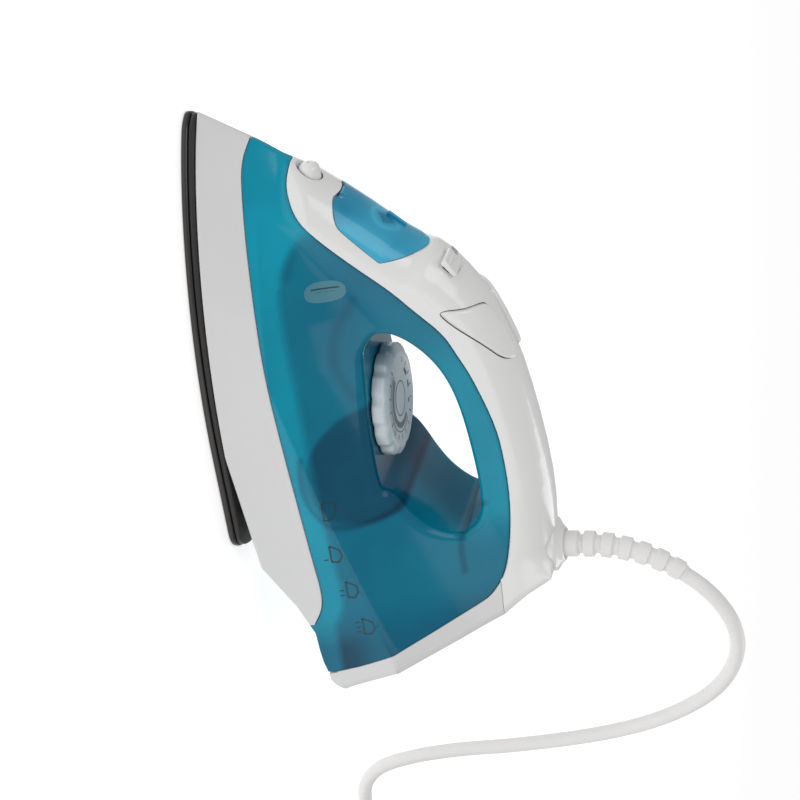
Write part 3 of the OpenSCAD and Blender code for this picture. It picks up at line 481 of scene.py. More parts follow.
def material_with(name, maker, colour, values, **shader):
    """A material of one Principled shader fed by a shared group. colour is a colour, or a
    function of the node tree that gives a socket."""
    made = bpy.data.materials.new(name)
    made.use_nodes = True
    tree = made.node_tree
    bsdf = tree.nodes["Principled BSDF"]
    group = tree.nodes.new("ShaderNodeGroup")
    group.node_tree = shared(maker.__name__, maker)
    if callable(colour):
        tree.links.new(colour(tree), group.inputs["Colour"])
    else:
        group.inputs["Colour"].default_value = colour
    for key, value in values.items():
        group.inputs[key].default_value = value
    tree.links.new(group.outputs["Colour"], bsdf.inputs["Base Color"])
    tree.links.new(group.outputs["Roughness"], bsdf.inputs["Roughness"])
    tree.links.new(group.outputs["Normal"], bsdf.inputs["Normal"])
    for key, value in shader.items():
        bsdf.inputs[key.replace("_", " ")].default_value = value
    return made


def plastic(name, colour, gloss=0.25, coat=0.3, mottle=0.05, skin=0.06, **shader):
    """Moulded plastic with a polished surface."""
    return material_with(name, moulded_skin, colour,
        {"Gloss": gloss, "Mottle": mottle, "Skin depth": skin},
        **{"Coat_Weight": coat, "Coat_Roughness": 0.06, "IOR": 1.49, **shader})


def metal(name, colour, gloss=0.3, depth=0.15, stain=0.15):
    """Bare metal with fine drawn lines."""
    return material_with(name, drawn_metal, colour,
        {"Gloss": gloss, "Line depth": depth, "Stain": stain}, Metallic=1.0)


def tank_colour(tree):
    """Clear teal plastic over a wet, dark inside, with painted light and shade: the painted depth
    runs from the painted glow of the bright rim to the painted shade of the deep middle, and the
    painted ribs add painted shade where an inner wall stands and along the seams."""
    depth, ribs = painted(tree, "depth"), painted(tree, "ribs")
    place = object_place(tree)
    haze = maths(tree, "MULTIPLY", maths(tree, "SUBTRACT", noise(tree, place, 26.0, 2.0), 0.5), 0.35)
    ramp = tree.nodes.new("ShaderNodeValToRGB")
    tones = props().tank
    # the ramp runs from the painted glow of the rim to the painted shade of the deepest parts
    stops = [(0.0, tones.lit_rim_colour), (0.3, tones.wall_colour), (0.62, tones.water_colour),
        (1.0, tones.shaded_deep_colour)]
    while len(ramp.color_ramp.elements) < len(stops):
        ramp.color_ramp.elements.new(0.5)
    for element, (at, colour) in zip(ramp.color_ramp.elements, stops):
        element.position = at
        element.color = (*colour, 1)
    tree.links.new(maths(tree, "ADD", depth, haze), ramp.inputs["Fac"])
    # painted shade of the inner walls and of the seams: the ramp's colour darkened where the ribs attribute
    # is high
    dark = blended(tree, 1.0, ramp.outputs["Color"], (0.3, 0.42, 0.5, 1), "MULTIPLY")
    return blended(tree, ribs, ramp.outputs["Color"], dark)


FINISHES = {}


def finish(name):
    """A finish of the iron by name, made when first used."""
    if name not in FINISHES:
        look = props().look
        FINISHES[name] = {
            "clear teal": lambda: plastic("Clear teal", tank_colour, 0.14, 0.12, 0.02,
                Specular_IOR_Level=0.22),
            "clear sky blue": lambda: plastic("Clear sky blue", door_colour, 0.12, 0.2, 0.02,
                Specular_IOR_Level=0.3),
            "white": lambda: plastic("Glossy white", (*look.white, 1), 0.24, 0.45, 0.03),
            "skirt white": lambda: plastic("Cool white", (*look.skirt, 1), 0.30, 0.25, 0.04),
            "dial": lambda: plastic("Satin silver", (*look.dial, 1), 0.33, 0.25, 0.06, 0.1),
            "print": lambda: plastic("Grey print", linear((72, 96, 106)), 0.4, 0.0, 0.1),
            "soft white": lambda: plastic("Soft white", linear((228, 227, 226)), 0.45, 0.0, 0.06, 0.2),
            "black seal": lambda: plastic("Black seal", linear((30, 30, 31)), 0.45, 0.0, 0.2, 0.3),
            "grey": lambda: plastic("Grey moulding", linear((160, 160, 158)), 0.5, 0.0, 0.08, 0.2),
            "ceramic": lambda: plastic("Glazed ceramic", linear((222, 214, 196)), 0.2, 0.5, 0.05),
            "wire skin": lambda: plastic("Wire skin", linear((150, 60, 45)), 0.5, 0.0, 0.2, 0.2),
            "silicone": lambda: plastic("Silicone", linear((176, 104, 72)), 0.5, 0.0, 0.1, 0.2),
            "clear tube": lambda: plastic("Milky tube", linear((214, 214, 206)), 0.35, 0.1, 0.06),
            # painted shade for the gap round the spray nozzle
            "gap shade": lambda: plastic("Painted gap shade", linear((44, 50, 54)), 0.5, 0.0, 0.1),
            "level patch": lambda: plastic("Level patch", linear((60, 122, 138)), 0.3, 0.2, 0.05),
            "sign": lambda: plastic("Dark print", linear((10, 58, 70)), 0.4, 0.0, 0.1),
            "sole": lambda: metal("Sole steel", linear((74, 73, 72)), 0.24, 0.2),
            "steel": lambda: metal("Plated steel", linear((190, 190, 194)), 0.28),
            "dark steel": lambda: metal("Heated steel", linear((128, 120, 116)), 0.42, 0.2, 0.4),
            "cast": lambda: metal("Cast aluminium", linear((188, 190, 192)), 0.5, 0.3, 0.3),
            "brass": lambda: metal("Brass", linear((206, 176, 104)), 0.28),
        }[name]()
    return FINISHES[name]


def door_colour(tree):
    """Clear sky-blue plastic mixed by its painted light and shade: lighter towards its rear end, where it
    lies over white.
    """
    depth = painted(tree, "depth")
    place = object_place(tree)
    haze = maths(tree, "MULTIPLY", maths(tree, "SUBTRACT", noise(tree, place, 60.0, 2.0), 0.5), 0.5)
    return blended(tree, maths(tree, "ADD", depth, haze), linear((64, 172, 206)),
        linear((0, 112, 150)))


CAD_FINISHES = {
    "soleplate": "sole", "sole_seal": "black seal", "steam_chamber": "cast", "chamber_cover": "cast",
    "heating_element": "dark steel", "element_terminals": "brass", "chamber_screws": "steel",
    "thermostat": "ceramic", "thermostat_bracket": "steel", "thermal_fuse": "ceramic",
    "heat_shield": "grey", "tank_base": "clear teal", "tank_screws": "steel", "drip_seal": "silicone",
    "rear_screws": "steel", "fill_funnel": "white", "fill_door_pin": "steel", "nozzle_tip": "brass",
    "spray_tube": "clear tube", "steam_tube": "clear tube", "valve_rod": "steel", "dial_shaft": "steel",
    "spray_pump": "white", "spray_spring": "steel", "steam_pump": "white", "steam_spring": "steel",
    "terminal_block": "grey", "inner_wires": "wire skin", "coil_tie": "black seal",
    "plug_body": "soft white", "plug_pins": "steel",
}


# ---- what a user would change ----
class TankSettings(bpy.types.PropertyGroup):
    """Sizes and colours of the clear blue mouldings."""
    lip: FloatProperty(name="Opening lip", description="Radius of the edge round the finger opening",
        default=3.6 * MM, min=1 * MM, max=6 * MM, subtype="DISTANCE", unit="LENGTH")
    # colour of the painted glow along the rim by the skirt
    lit_rim_colour: FloatVectorProperty(name="Rim", description="Colour of the bright rim by the skirt",
        subtype="COLOR", default=linear((2, 152, 178))[:3])
    wall_colour: FloatVectorProperty(name="Wall", description="Colour where only the wall is seen",
        subtype="COLOR", default=linear((0, 128, 153))[:3])
    water_colour: FloatVectorProperty(name="Inside", description="Colour over the inside",
        subtype="COLOR", default=linear((0, 102, 130))[:3])
    # colour of the painted shade over the deepest parts
    shaded_deep_colour: FloatVectorProperty(name="Deep", description="Colour of the deepest parts",
        subtype="COLOR", default=linear((0, 58, 84))[:3])


class LookSettings(bpy.types.PropertyGroup):
    """Colours of the other mouldings."""
    white: FloatVectorProperty(name="White", description="Colour of the handle's shell",
        subtype="COLOR", default=linear((225, 225, 224))[:3])
    skirt: FloatVectorProperty(name="Skirt", description="Colour of the skirt",
        subtype="COLOR", default=linear((212, 212, 212))[:3])
    dial: FloatVectorProperty(name="Dial", description="Colour of the temperature dial",
        subtype="COLOR", default=linear((196, 206, 211))[:3])


class DetailSettings(bpy.types.PropertyGroup):
    """Sizes of the small details."""
    key_proud: FloatProperty(name="Key height", description="How far a thumb key stands proud",
        default=1.45 * MM, min=0.3 * MM, max=1.8 * MM, subtype="DISTANCE", unit="LENGTH")
    seam: FloatProperty(name="Seam edge", description="Radius of the edges along a seam",
        default=0.45 * MM, min=0.2 * MM, max=1.5 * MM, subtype="DISTANCE", unit="LENGTH")
    dial_lobes: IntProperty(name="Dial flutes", description="Number of finger flutes on the dial",
        default=12, min=6, max=24)


class IronSettings(bpy.types.PropertyGroup):
    """All settings of the iron."""
    tank: PointerProperty(type=TankSettings)
    look: PointerProperty(type=LookSettings)
    detail: PointerProperty(type=DetailSettings)


def props():
    """The settings on the scene."""
    return bpy.context.scene.steam_iron


# ---- the pieces ----
def joined(shapes):
    """Several closed shapes as one list of points and faces."""
    start = np.cumsum([0] + [len(points) for points, _ in shapes])
    quads = np.vstack([np.asarray(q) + k for (_, q), k in zip(shapes, start)])
    return np.vstack([p for p, _ in shapes]), quads


VIEW_TURN, VIEW_LIFT, VIEW_AWAY = 32.5, 15, 1.2
VIEW_AIM = (-0.043, 0, 0.0729)
VIEW_LENS = 122.96


class IRON_OT_camera(bpy.types.Operator):
    """Puts the camera at its place, turned so that the iron's nose is up."""
    bl_idname = "iron.camera"
    bl_label = "Camera"

    def execute(self, context):
        turn, lift = math.radians(VIEW_TURN), math.radians(VIEW_LIFT)
        back = (math.sin(turn) * math.cos(lift), math.cos(turn) * math.cos(lift), math.sin(lift))
        right = (-math.sin(turn) * math.sin(lift), -math.cos(turn) * math.sin(lift), math.cos(lift))
        up = (math.cos(turn), -math.sin(turn), 0)
        place = Matrix((right, up, back)).transposed().to_4x4()
        place.translation = [a + VIEW_AWAY * b for a, b in zip(VIEW_AIM, back)]
        camera = bpy.data.objects.new("Camera", bpy.data.cameras.new("Camera"))
        camera.data.lens = VIEW_LENS
        camera.data.sensor_width = 36
        camera.matrix_world = place
        context.scene.collection.objects.link(camera)
        context.scene.camera = camera
        return {"FINISHED"}


CORD_R = 3.5
ROUTE = [[-134, 0, 190], [-141, 0, 198], [-151, -1, 205], [-163, -2, 210], [-177, -4, 211],
    [-192, -7, 207], [-207, -10, 198], [-221, -14, 184], [-234, -18, 165], [-245, -22, 142],
    [-254, -26, 117], [-262, -30, 90], [-269, -34, 63], [-277, -37, 38], [-289, -42, 18],
    [-304, -46, 7], [-320, -48.5, 4.2], [-335, -49.5, 4.2], [-350, -49.5, 4.2]]
TAIL = [[-349, 50, 11.6], [-338, 51, 13.6], [-328, 53, 16.2], [-320, 54.6, 17.6], [-313, 55, 18]]
COIL_X, COIL_OUT, COIL_IN, COIL_LIFT = -365.0, 49.4, 28.4, 4.2
COIL_TURNS = 3


def through(points, steps):
    """A smooth curve through points, each span a cubic whose slopes at its ends are half the
    step between the neighbours."""
    p = np.array(points, float)
    ends = np.vstack([2 * p[0] - p[1], p, 2 * p[-1] - p[-2]])
    t = np.linspace(0, 1, steps, endpoint=False)[:, None, None]
    a, b, c, d = ends[:-3], ends[1:-2], ends[2:-1], ends[3:]
    curve = 0.5 * (2 * b + (c - a) * t + (2 * a - 5 * b + 4 * c - d) * t ** 2
        + (3 * b - a - 3 * c + d) * t ** 3)
    return np.vstack([curve.transpose(1, 0, 2).reshape(-1, 3), p[-1:]])


def coil():
    """Clockwise from the south side: three turns in on the board, half a turn up, and three
    turns out on top, a cord's width apart."""
    t = np.linspace(0, 2 * COIL_TURNS + 0.5, 48 * (2 * COIL_TURNS) + 25)
    pitch = 2 * CORD_R
    r = np.where(t < COIL_TURNS, COIL_OUT - pitch * t,
        COIL_IN + pitch * np.clip(t - COIL_TURNS - 0.5, 0, None))
    z = COIL_LIFT + pitch * ease(COIL_TURNS, COIL_TURNS + 0.5, t)
    angle = -np.pi / 2 - 2 * np.pi * t
    return np.stack([COIL_X + r * np.cos(angle), r * np.sin(angle), z], -1)


class IRON_OT_cord(bpy.types.Operator):
    """The mains cord: a tube along its whole route, with its coil, down to the plug."""
    bl_idname = "iron.cord"
    bl_label = "Mains cord"

    def execute(self, context):
        path = np.vstack([through(ROUTE, 4), coil()[1:], through(TAIL, 4)])
        points, quads = tube(path, CORD_R, 14)
        cord = piece("mains_cord", points, quads, finish("soft white"), "iron",
            ["cord", "cord_coil"], 60)
        return {"FINISHED"}


RELIEF_X, RELIEF_Z = -119.0, 134.95
SLEEVE_L, SLEEVE_STRAIGHT, SLEEVE_BEND = 62.6, 18, 0.9
RIB_FIRST, RIB_PITCH = 14, 8


class IRON_OT_relief(bpy.types.Operator):
    """The strain relief: a tapered sleeve with ribs, carried along a line that bends back, and
    the round bushing that holds it."""
    bl_idname = "iron.relief"
    bl_label = "Strain relief"

    def execute(self, context):
        s = np.linspace(0, SLEEVE_L, 260)
        bent = np.maximum(0, s - SLEEVE_STRAIGHT)
        half_lean = np.radians(bent * SLEEVE_BEND / 2)
        path = np.stack([RELIEF_X - bent * np.sin(half_lean), 0 * s,
            RELIEF_Z - 4 + s - bent * (1 - np.cos(half_lean))], -1)
        rib = (s - RIB_FIRST) % RIB_PITCH
        count = np.clip((s - RIB_FIRST) // RIB_PITCH, 0, 5)
        ribbed = ease(1.7, 2.6, rib) * (1 - ease(6.9, 7.8, rib)) * (s > RIB_FIRST)
        neck = 4.25 - 0.1 * count
        radius = np.where(s < RIB_FIRST, 5.9, neck + (5.9 - 0.25 * count - neck) * ribbed)
        radius = np.where(s < RIB_FIRST, radius - 0.6 * ease(13.2, RIB_FIRST, s), radius)
        points, quads = tube(path, radius, 40)
        piece("relief", points, quads, finish("soft white"), "iron", ["strain_relief"],
            40)
        z = np.array([0, 0, 4.6, 5.3, 5.9, 6.6, 7.4, 8.2, 8.9, 8.9, 8.3, 7.9, 0.4, 0.4])
        r = np.array([0, 12.4, 12.4, 12.1, 11.4, 10.2, 9.0, 8.1, 7.5, 6.9, 6.4, 6.15, 6.15, 0])
        points, quads = lathe(r, z, [RELIEF_X, 0, RELIEF_Z - 5], [0, 0, 1], 96)
        piece("bushing", points, quads, finish("white"), "iron", ["cord_bushing"], 50)
        return {"FINISHED"}


BEHIND, ALONG, AHEAD = 90, 120, 80
BELOW, ACROSS, ABOVE = 66, 4, 30


def tank_grid():
    """Stations and rows of the blue mouldings: three blocks of rows, below, across and above
    the finger opening, and three blocks of stations, behind, along and ahead of it."""
    x = np.hstack([spaced(-157, HOLE_REAR, BEHIND), spaced(HOLE_REAR, HOLE_FRONT, ALONG)[1:],
        spaced(HOLE_FRONT, 87, AHEAD)[1:]])
    low = np.where(x > SKIRT_TAIL, height(x, SEAM) + PARTING / 2, height(x, UNDER) + PARTING / 2)
    high = np.minimum(height(x, SPLIT), height(x, TOP)) - PARTING / 2
    first, last = BEHIND - 1, BEHIND + ALONG - 2
    inside = slice(first, last + 1)
    deck, arch = np.empty_like(x), np.empty_like(x)
    deck[inside], arch[inside] = height(x[inside], DECK), height(x[inside], ARCH)
    for part, at in ((slice(0, first), first), (slice(last + 1, None), last)):
        share = (np.array([deck[at], arch[at]]) - low[at]) / (high[at] - low[at])
        deck[part] = low[part] + share[0] * (high[part] - low[part])
        arch[part] = low[part] + share[1] * (high[part] - low[part])
    rows = [low[:, None] + (deck - low)[:, None] * spaced(0, 1, BELOW, 0.9)[None, :],
        deck[:, None] + (arch - deck)[:, None] * np.linspace(0, 1, ACROSS)[None, 1:],
        arch[:, None] + (high - arch)[:, None] * spaced(0, 1, ABOVE, 0.9)[None, 1:]]
    return x, np.hstack(rows), (first, last, BELOW - 1, BELOW + ACROSS - 2)


def tank_glow_and_shade(x, y, z):
    """Painted light and shade of the clear tank, for how deep the inside looks behind the wall:
    a painted glow (little depth) along the skirt's seam, at the nose and round the handle, more
    painted shade over the water chamber, and most over the round dial seat and in the tail."""
    seam = z - height(x, SEAM)
    chamber = ease(7, 12, seam) * (1 - ease(19, 24, np.hypot(np.maximum(x - 30, 0), (z - 62) / 1.15)))
    chamber = np.where(x > 30, chamber, ease(7, 12, seam))
    seat = 1 - ease(25, 28, np.hypot(x + 56, z - 66))
    tail = ease(-118, -146, x)
    foot = ease(-128, -150, x) * ease(62, 44, z)
    loop = ease(84, 104, z) * ease(8, -18, x) * ease(-104, -84, x)
    middle = np.exp(-(((x - 12) / 24) ** 2 + ((z - 60) / 16) ** 2))
    depth = 0.1 + 0.42 * chamber + 0.34 * seat + 0.14 * middle + 0.22 * tail + 0.3 * foot
    return np.clip(depth - 0.3 * loop, 0, 1)


# outlines of the inner walls behind the clear wall, drawn on it as painted shade
INNER_WALLS = [
    [[-44, 39], [-62, 37.5], [-76, 44], [-82, 55], [-82, 68], [-76, 79], [-66, 86]],
    [[34, 40], [45, 43.5], [52, 51], [52, 62], [49, 70]],
    [[-66, 86], [-77, 98], [-85, 93], [-80, 81]],
    [[-117, 98], [-101, 97], [-88, 103], [-84, 110]],
    [[20, 66], [6, 56], [-10, 55], [-24, 62]],
]


def tank_rib_and_seam_shade(x, y, z):
    """Dark soft lines of painted shade where an inner wall stands close behind the clear wall,
    and painted shade along the seams with the shell and the skirt.
    """
    total = np.zeros_like(x)
    for wall, width, dark in zip(INNER_WALLS, (2.6, 3.6, 2.2, 2.6, 4.0), (0.75, 0.4, 0.6, 0.7, 0.35)):
        total = np.maximum(total, dark * (1 - ease(0, width, gap_to(x, z, rounded_line(wall, 3)))))
    # painted shade along the seams with the shell and the skirt
    edge = 1 - ease(0, 1.6, np.minimum(gap_to(x, z, SPLIT), gap_to(x, z, SEAM)))
    return np.clip(np.maximum(total, 0.3 * edge), 0, 1)


class IRON_OT_tank(bpy.types.Operator):
    """The clear blue mouldings: tank, tail and handle lining as one smooth body round the
    finger opening, whose edge is rolled."""
    bl_idname = "iron.tank"
    bl_label = "Tank"

    def execute(self, context):
        x, z, hole = tank_grid()
        seam, lip = props().detail.seam / MM, props().tank.lip / MM
        xx = np.broadcast_to(x[:, None], z.shape)
        edge = np.minimum(z - z[:, :1], z[:, -1:] - z)
        half = body_half(xx, z) - rolled(edge, seam) - rolled(gap_to(xx, z, HOLE), lip)
        points, quads = two_sided(x, z, np.maximum(half, 0.3), hole)
        tank = piece("tank", points, quads, finish("clear teal"), "iron",
            ["water_tank", "tail_housing", "handle_liner"], 50)
        well = cutter("well", soft_box([34, -10, 50], [56, 10, 75], 1.0))
        carve(tank, [well], 50)
        # painted light and shade: glow along the rim and shade over the deep inside, then the painted shade
        # of the inner walls and seams
        paint(tank, "depth", tank_glow_and_shade)
        paint(tank, "ribs", tank_rib_and_seam_shade)
        return {"FINISHED"}


def cutter(name, shape):
    """A hidden body that is only cut out of another one."""
    return piece(name, shape[0], shape[1], None, None)


SOLE_TIP, SOLE_HEEL, HEEL_BOW = 100.0, -98.0, 18
SOLE_T, SEAL_T = 2.8, 2.7


def sole_side(count=170):
    """The left half of the sole's outline from the tip to the middle of the heel, and its
    outward directions: the hull's width at the bottom times a rounded heel, the cube root of
    1 - t cubed over the bow."""
    x = SOLE_HEEL + (SOLE_TIP - SOLE_HEEL) * (1 + np.cos(np.linspace(0, np.pi, count))) / 2
    t = np.clip((SOLE_HEEL + HEEL_BOW - x) / HEEL_BOW, 0, 1)
    y = body_half(x, 0 * x) * np.cbrt(1 - t ** 3)
    y *= np.sqrt(1 - np.clip((x - SOLE_TIP + 5) / 5, 0, 1) ** 2.5)
    y[[0, -1]] = 0
    line = np.stack([x, y], -1)
    way = np.gradient(line, axis=0)
    way /= np.linalg.norm(way, axis=1)[:, None]
    out = np.stack([-way[:, 1], way[:, 0]], -1)
    out *= np.sign(out[count // 2, 1])
    out[0], out[-1] = (1, 0), (-1, 0)
    return line, out


def sole_slab(levels, insets):
    """A plate of the sole's outline: each row is the outline moved inwards by its inset, at
    its level, and the first and last rows lie on the middle line and close it."""
    line, out = sole_side()
    rows = []
    for level, inset in zip(levels, insets):
        ring = line - inset * out
        ring = np.stack([ring[:, 0], np.maximum(ring[:, 1], 0), np.full(len(line), level)], -1)
        rows.append(ring)
    rows = [rows[0] * [1, 0, 1]] + rows + [rows[-1] * [1, 0, 1]]
    near = np.array(rows)
    index = np.arange(near.shape[0] * near.shape[1]).reshape(near.shape[:2])
    quads = grid_quads(index).reshape(-1, 4)
    return joined([(near.reshape(-1, 3), quads), ((near * [1, -1, 1]).reshape(-1, 3), quads)])


class IRON_OT_sole(bpy.types.Operator):
    """The soleplate with its rounded rim and steam holes, and the black seal above it."""
    bl_idname = "iron.sole"
    bl_label = "Sole and seal"

    def execute(self, context):
        points, quads = sole_slab([0, 0.1, 0.5, 1.2, 1.9, 2.45, 2.75, 2.8],
            [0.9, 0.45, 0.12, 0.0, 0.03, 0.25, 0.65, 1.1])
        sole = piece("sole", points, quads, finish("sole"), "iron", ["soleplate"], 60)
        spots = [(SOLE_TIP - 14, 0.0)]
        for k in range(7):
            x = SOLE_TIP - 26 - 17 * k
            t = max(0.0, (SOLE_HEEL + HEEL_BOW - x) / HEEL_BOW)
            y = 0.62 * float(body_half(np.array([x]), np.array([0.0]))[0]) * (1 - t ** 3) ** (1 / 3)
            spots += [(x, y), (x, -y)]
        holes = [lathe([0, 1.5, 1.5, 0], [-1, -1, 4, 4], [x, y, 0], [0, 0, 1], 24) for x, y in spots]
        carve(sole, [cutter("hole", hole) for hole in holes], 60)
        points, quads = sole_slab([SOLE_T, SOLE_T + 0.1, SOLE_T + 0.5, SOLE_T + 1.3, SOLE_T + 2.1,
            SOLE_T + 2.5, SOLE_T + SEAL_T], [1.5, 1.1, 0.85, 0.8, 0.9, 1.15, 1.6])
        piece("seal", points, quads, finish("black seal"), "iron", ["sole_seal"], 60)
        return {"FINISHED"}


class IRON_OT_skirt(bpy.types.Operator):
    """The white skirt above the seal, up to its seam with the tank."""
    bl_idname = "iron.skirt"
    bl_label = "Skirt"

    def execute(self, context):
        x = np.hstack([spaced(-131, 80, 150, 0.6), spaced(80, 99.6, 50)[1:]])
        low = np.maximum(height(x, UNDER), SKIRT_LOW)
        high = np.maximum(np.minimum(height(x, SEAM), height(x, TOP)) - PARTING / 2, low + 0.05)
        z = low[:, None] + (high - low)[:, None] * spaced(0, 1, 36, 0.9)[None, :]
        xx = np.broadcast_to(x[:, None], z.shape)
        roll = rolled(high[:, None] - z, props().detail.seam / MM) * (x < 86)[:, None]
        half = np.maximum(body_half(xx, z) - roll - rolled(z - low[:, None], 0.8), 0.02)
        points, quads = two_sided(x, z, half)
        piece("skirt_shell", points, quads, finish("skirt white"), "iron", ["skirt"],
            40)
        return {"FINISHED"}


PRESS_TILT, PRESS_Y, PRESS_Z = math.radians(25), 10.5, 121.0
LEAF = rounded_loop([[13, 15.4], [11.5, 8], [11, 2.6], [10, -2], [9, -3.6], [2, -6.7], [-7, -9.2],
    [-15, -9.4], [-17, -8.4], [-17, -6], [-14, -0.3], [-7, 4.5], [3, 11.5], [9, 14.5]], 2)


def press_place(a, b, w, side):
    """Points of a key's own frame, (along, across, up its press axis), in the iron's frame."""
    sin, cos = math.sin(PRESS_TILT), math.cos(PRESS_TILT)
    y, z = side * (PRESS_Y + b * cos + w * sin), PRESS_Z - b * sin + w * cos
    return np.stack(np.broadcast_arrays(a, y, z), -1)


def skin_height(a, b):
    """Height along the press axis where a key's point meets the iron's skin, by halving."""
    low, high = np.full(np.shape(a), -22.0), np.full(np.shape(a), 14.0)
    for _ in range(26):
        middle = (low + high) / 2
        p = press_place(a, b, middle, 1)
        inside = ((np.abs(p[..., 1]) < body_half(p[..., 0], p[..., 2]))
            & (p[..., 2] < height(p[..., 0], TOP)))
        low, high = np.where(inside, middle, low), np.where(inside, high, middle)
    return low


def leaf_outline(count, grow):
    """The key's outline at even steps, moved outwards by grow."""
    step = np.hstack([0, np.cumsum(np.linalg.norm(np.diff(LEAF, axis=0), axis=1))])
    at = np.linspace(0, step[-1], count, endpoint=False)
    line = np.stack([np.interp(at, step, LEAF[:, 0]), np.interp(at, step, LEAF[:, 1])], -1)
    way = np.roll(line, -1, 0) - np.roll(line, 1, 0)
    way /= np.linalg.norm(way, axis=1)[:, None]
    turn = np.sign(np.sum(LEAF[:-1, 0] * LEAF[1:, 1] - LEAF[1:, 0] * LEAF[:-1, 1]))
    return line + grow * turn * np.stack([way[:, 1], -way[:, 0]], -1)


def leaf_block(side, grow, low, high):
    """A straight prism of the key's outline along its press axis."""
    line = leaf_outline(120, grow)
    centre = line.mean(0)
    rings = [(centre + 0 * line, low), (line, low), (line, high), (centre + 0 * line, high)]
    points = np.array([press_place(l[:, 0], l[:, 1], np.full(len(l), float(w)), side) for l, w in rings])
    index = np.arange(4 * 120).reshape(4, 120)
    return points.reshape(-1, 3), grid_quads(np.hstack([index, index[:, :1]])).reshape(-1, 4)


def key_shape(side, proud):
    """A key: rings from its middle to its outline lie proud of the iron's skin, roll off over
    the last part, and close below the skin."""
    line = leaf_outline(160, 0)
    centre = np.array([0.0, 1.5])
    share = np.hstack([np.linspace(0, 0.9, 16), 0.9 + 0.1 * np.sin(np.linspace(0, np.pi / 2, 8)[1:])])
    rim_share = np.clip((share - 0.9) / 0.1, 0, 1)
    roll = proud + 0.25 - (0.9 * (1 - np.sqrt(np.maximum(1 - rim_share ** 2, 0))))
    share = np.hstack([share, 1, 1, 0.5, 0])
    lift = np.hstack([roll, -0.3, -0.75, -0.75, -0.75])
    rim = centre + share[:, None, None] * (line - centre)[None]
    skin = skin_height(rim[..., 0], rim[..., 1])
    points = press_place(rim[..., 0], rim[..., 1], skin + lift[:, None], side)
    index = np.arange(rim.shape[0] * rim.shape[1]).reshape(rim.shape[:2])
    return points.reshape(-1, 3), grid_quads(np.hstack([index, index[:, :1]])).reshape(-1, 4)


class IRON_OT_keys(bpy.types.Operator):
    """The two leaf-shaped thumb keys: spray on the left, steam on the right."""
    bl_idname = "iron.keys"
    bl_label = "Thumb keys"

    def execute(self, context):
        proud = props().detail.key_proud / MM
        for side, name, node, body in ((1, "spray_leaf", "spray_button", "spray_trigger"),
                (-1, "steam_leaf", "steam_button", "steam_trigger")):
            cap = key_shape(side, proud)
            foot = press_place(5.0 if side > 0 else -9.0, 1.0 if side > 0 else -2.5, -10.8, side)
            axis = press_place(0.0, 0.0, 1.0, side) - press_place(0.0, 0.0, 0.0, side)
            stem = lathe([0, 2.1, 2.4, 2.4, 0], [0, 0, 0.4, 8.8, 8.8], foot, axis, 32)
            points, quads = joined([cap, stem])
            piece(name, points, quads, finish("white"), body, [node], 50)
        return {"FINISHED"}


FACET_TILT = math.degrees(math.atan(13 / 17))
FACET_AT = (29.0, 0.0, float(height(29.0, TOP)))
NOZZLE_X, NOZZLE_Z = 60.0, 50.0


def door_sheet(first, last, rows, grow):
    """The door's grid: at each station the skin from its lower edge over the crest to the
    lower edge on the other side, pushed out by grow."""
    x = spaced(first, last, 60)
    low = height(x, DOOR)
    high = height(x, TOP)
    s = np.sin(np.linspace(0, np.pi / 2, rows))
    z = low[:, None] + (high - low)[:, None] * s[None, :]
    xx = np.broadcast_to(x[:, None], z.shape)
    half = body_half(xx, z)
    half[:, -1] = 0
    near = np.stack([xx, half, z], -1)
    sheet = np.concatenate([near, near[:, -2::-1] * [1, -1, 1]], 1)
    du, dv = np.gradient(sheet, axis=0), np.gradient(sheet, axis=1)
    out = np.cross(dv, du)
    out /= np.maximum(np.linalg.norm(out, axis=2), 1e-9)[..., None]
    flip = np.sign(out[len(x) // 2, rows - 1, 2])
    return sheet + out * flip * grow, flip


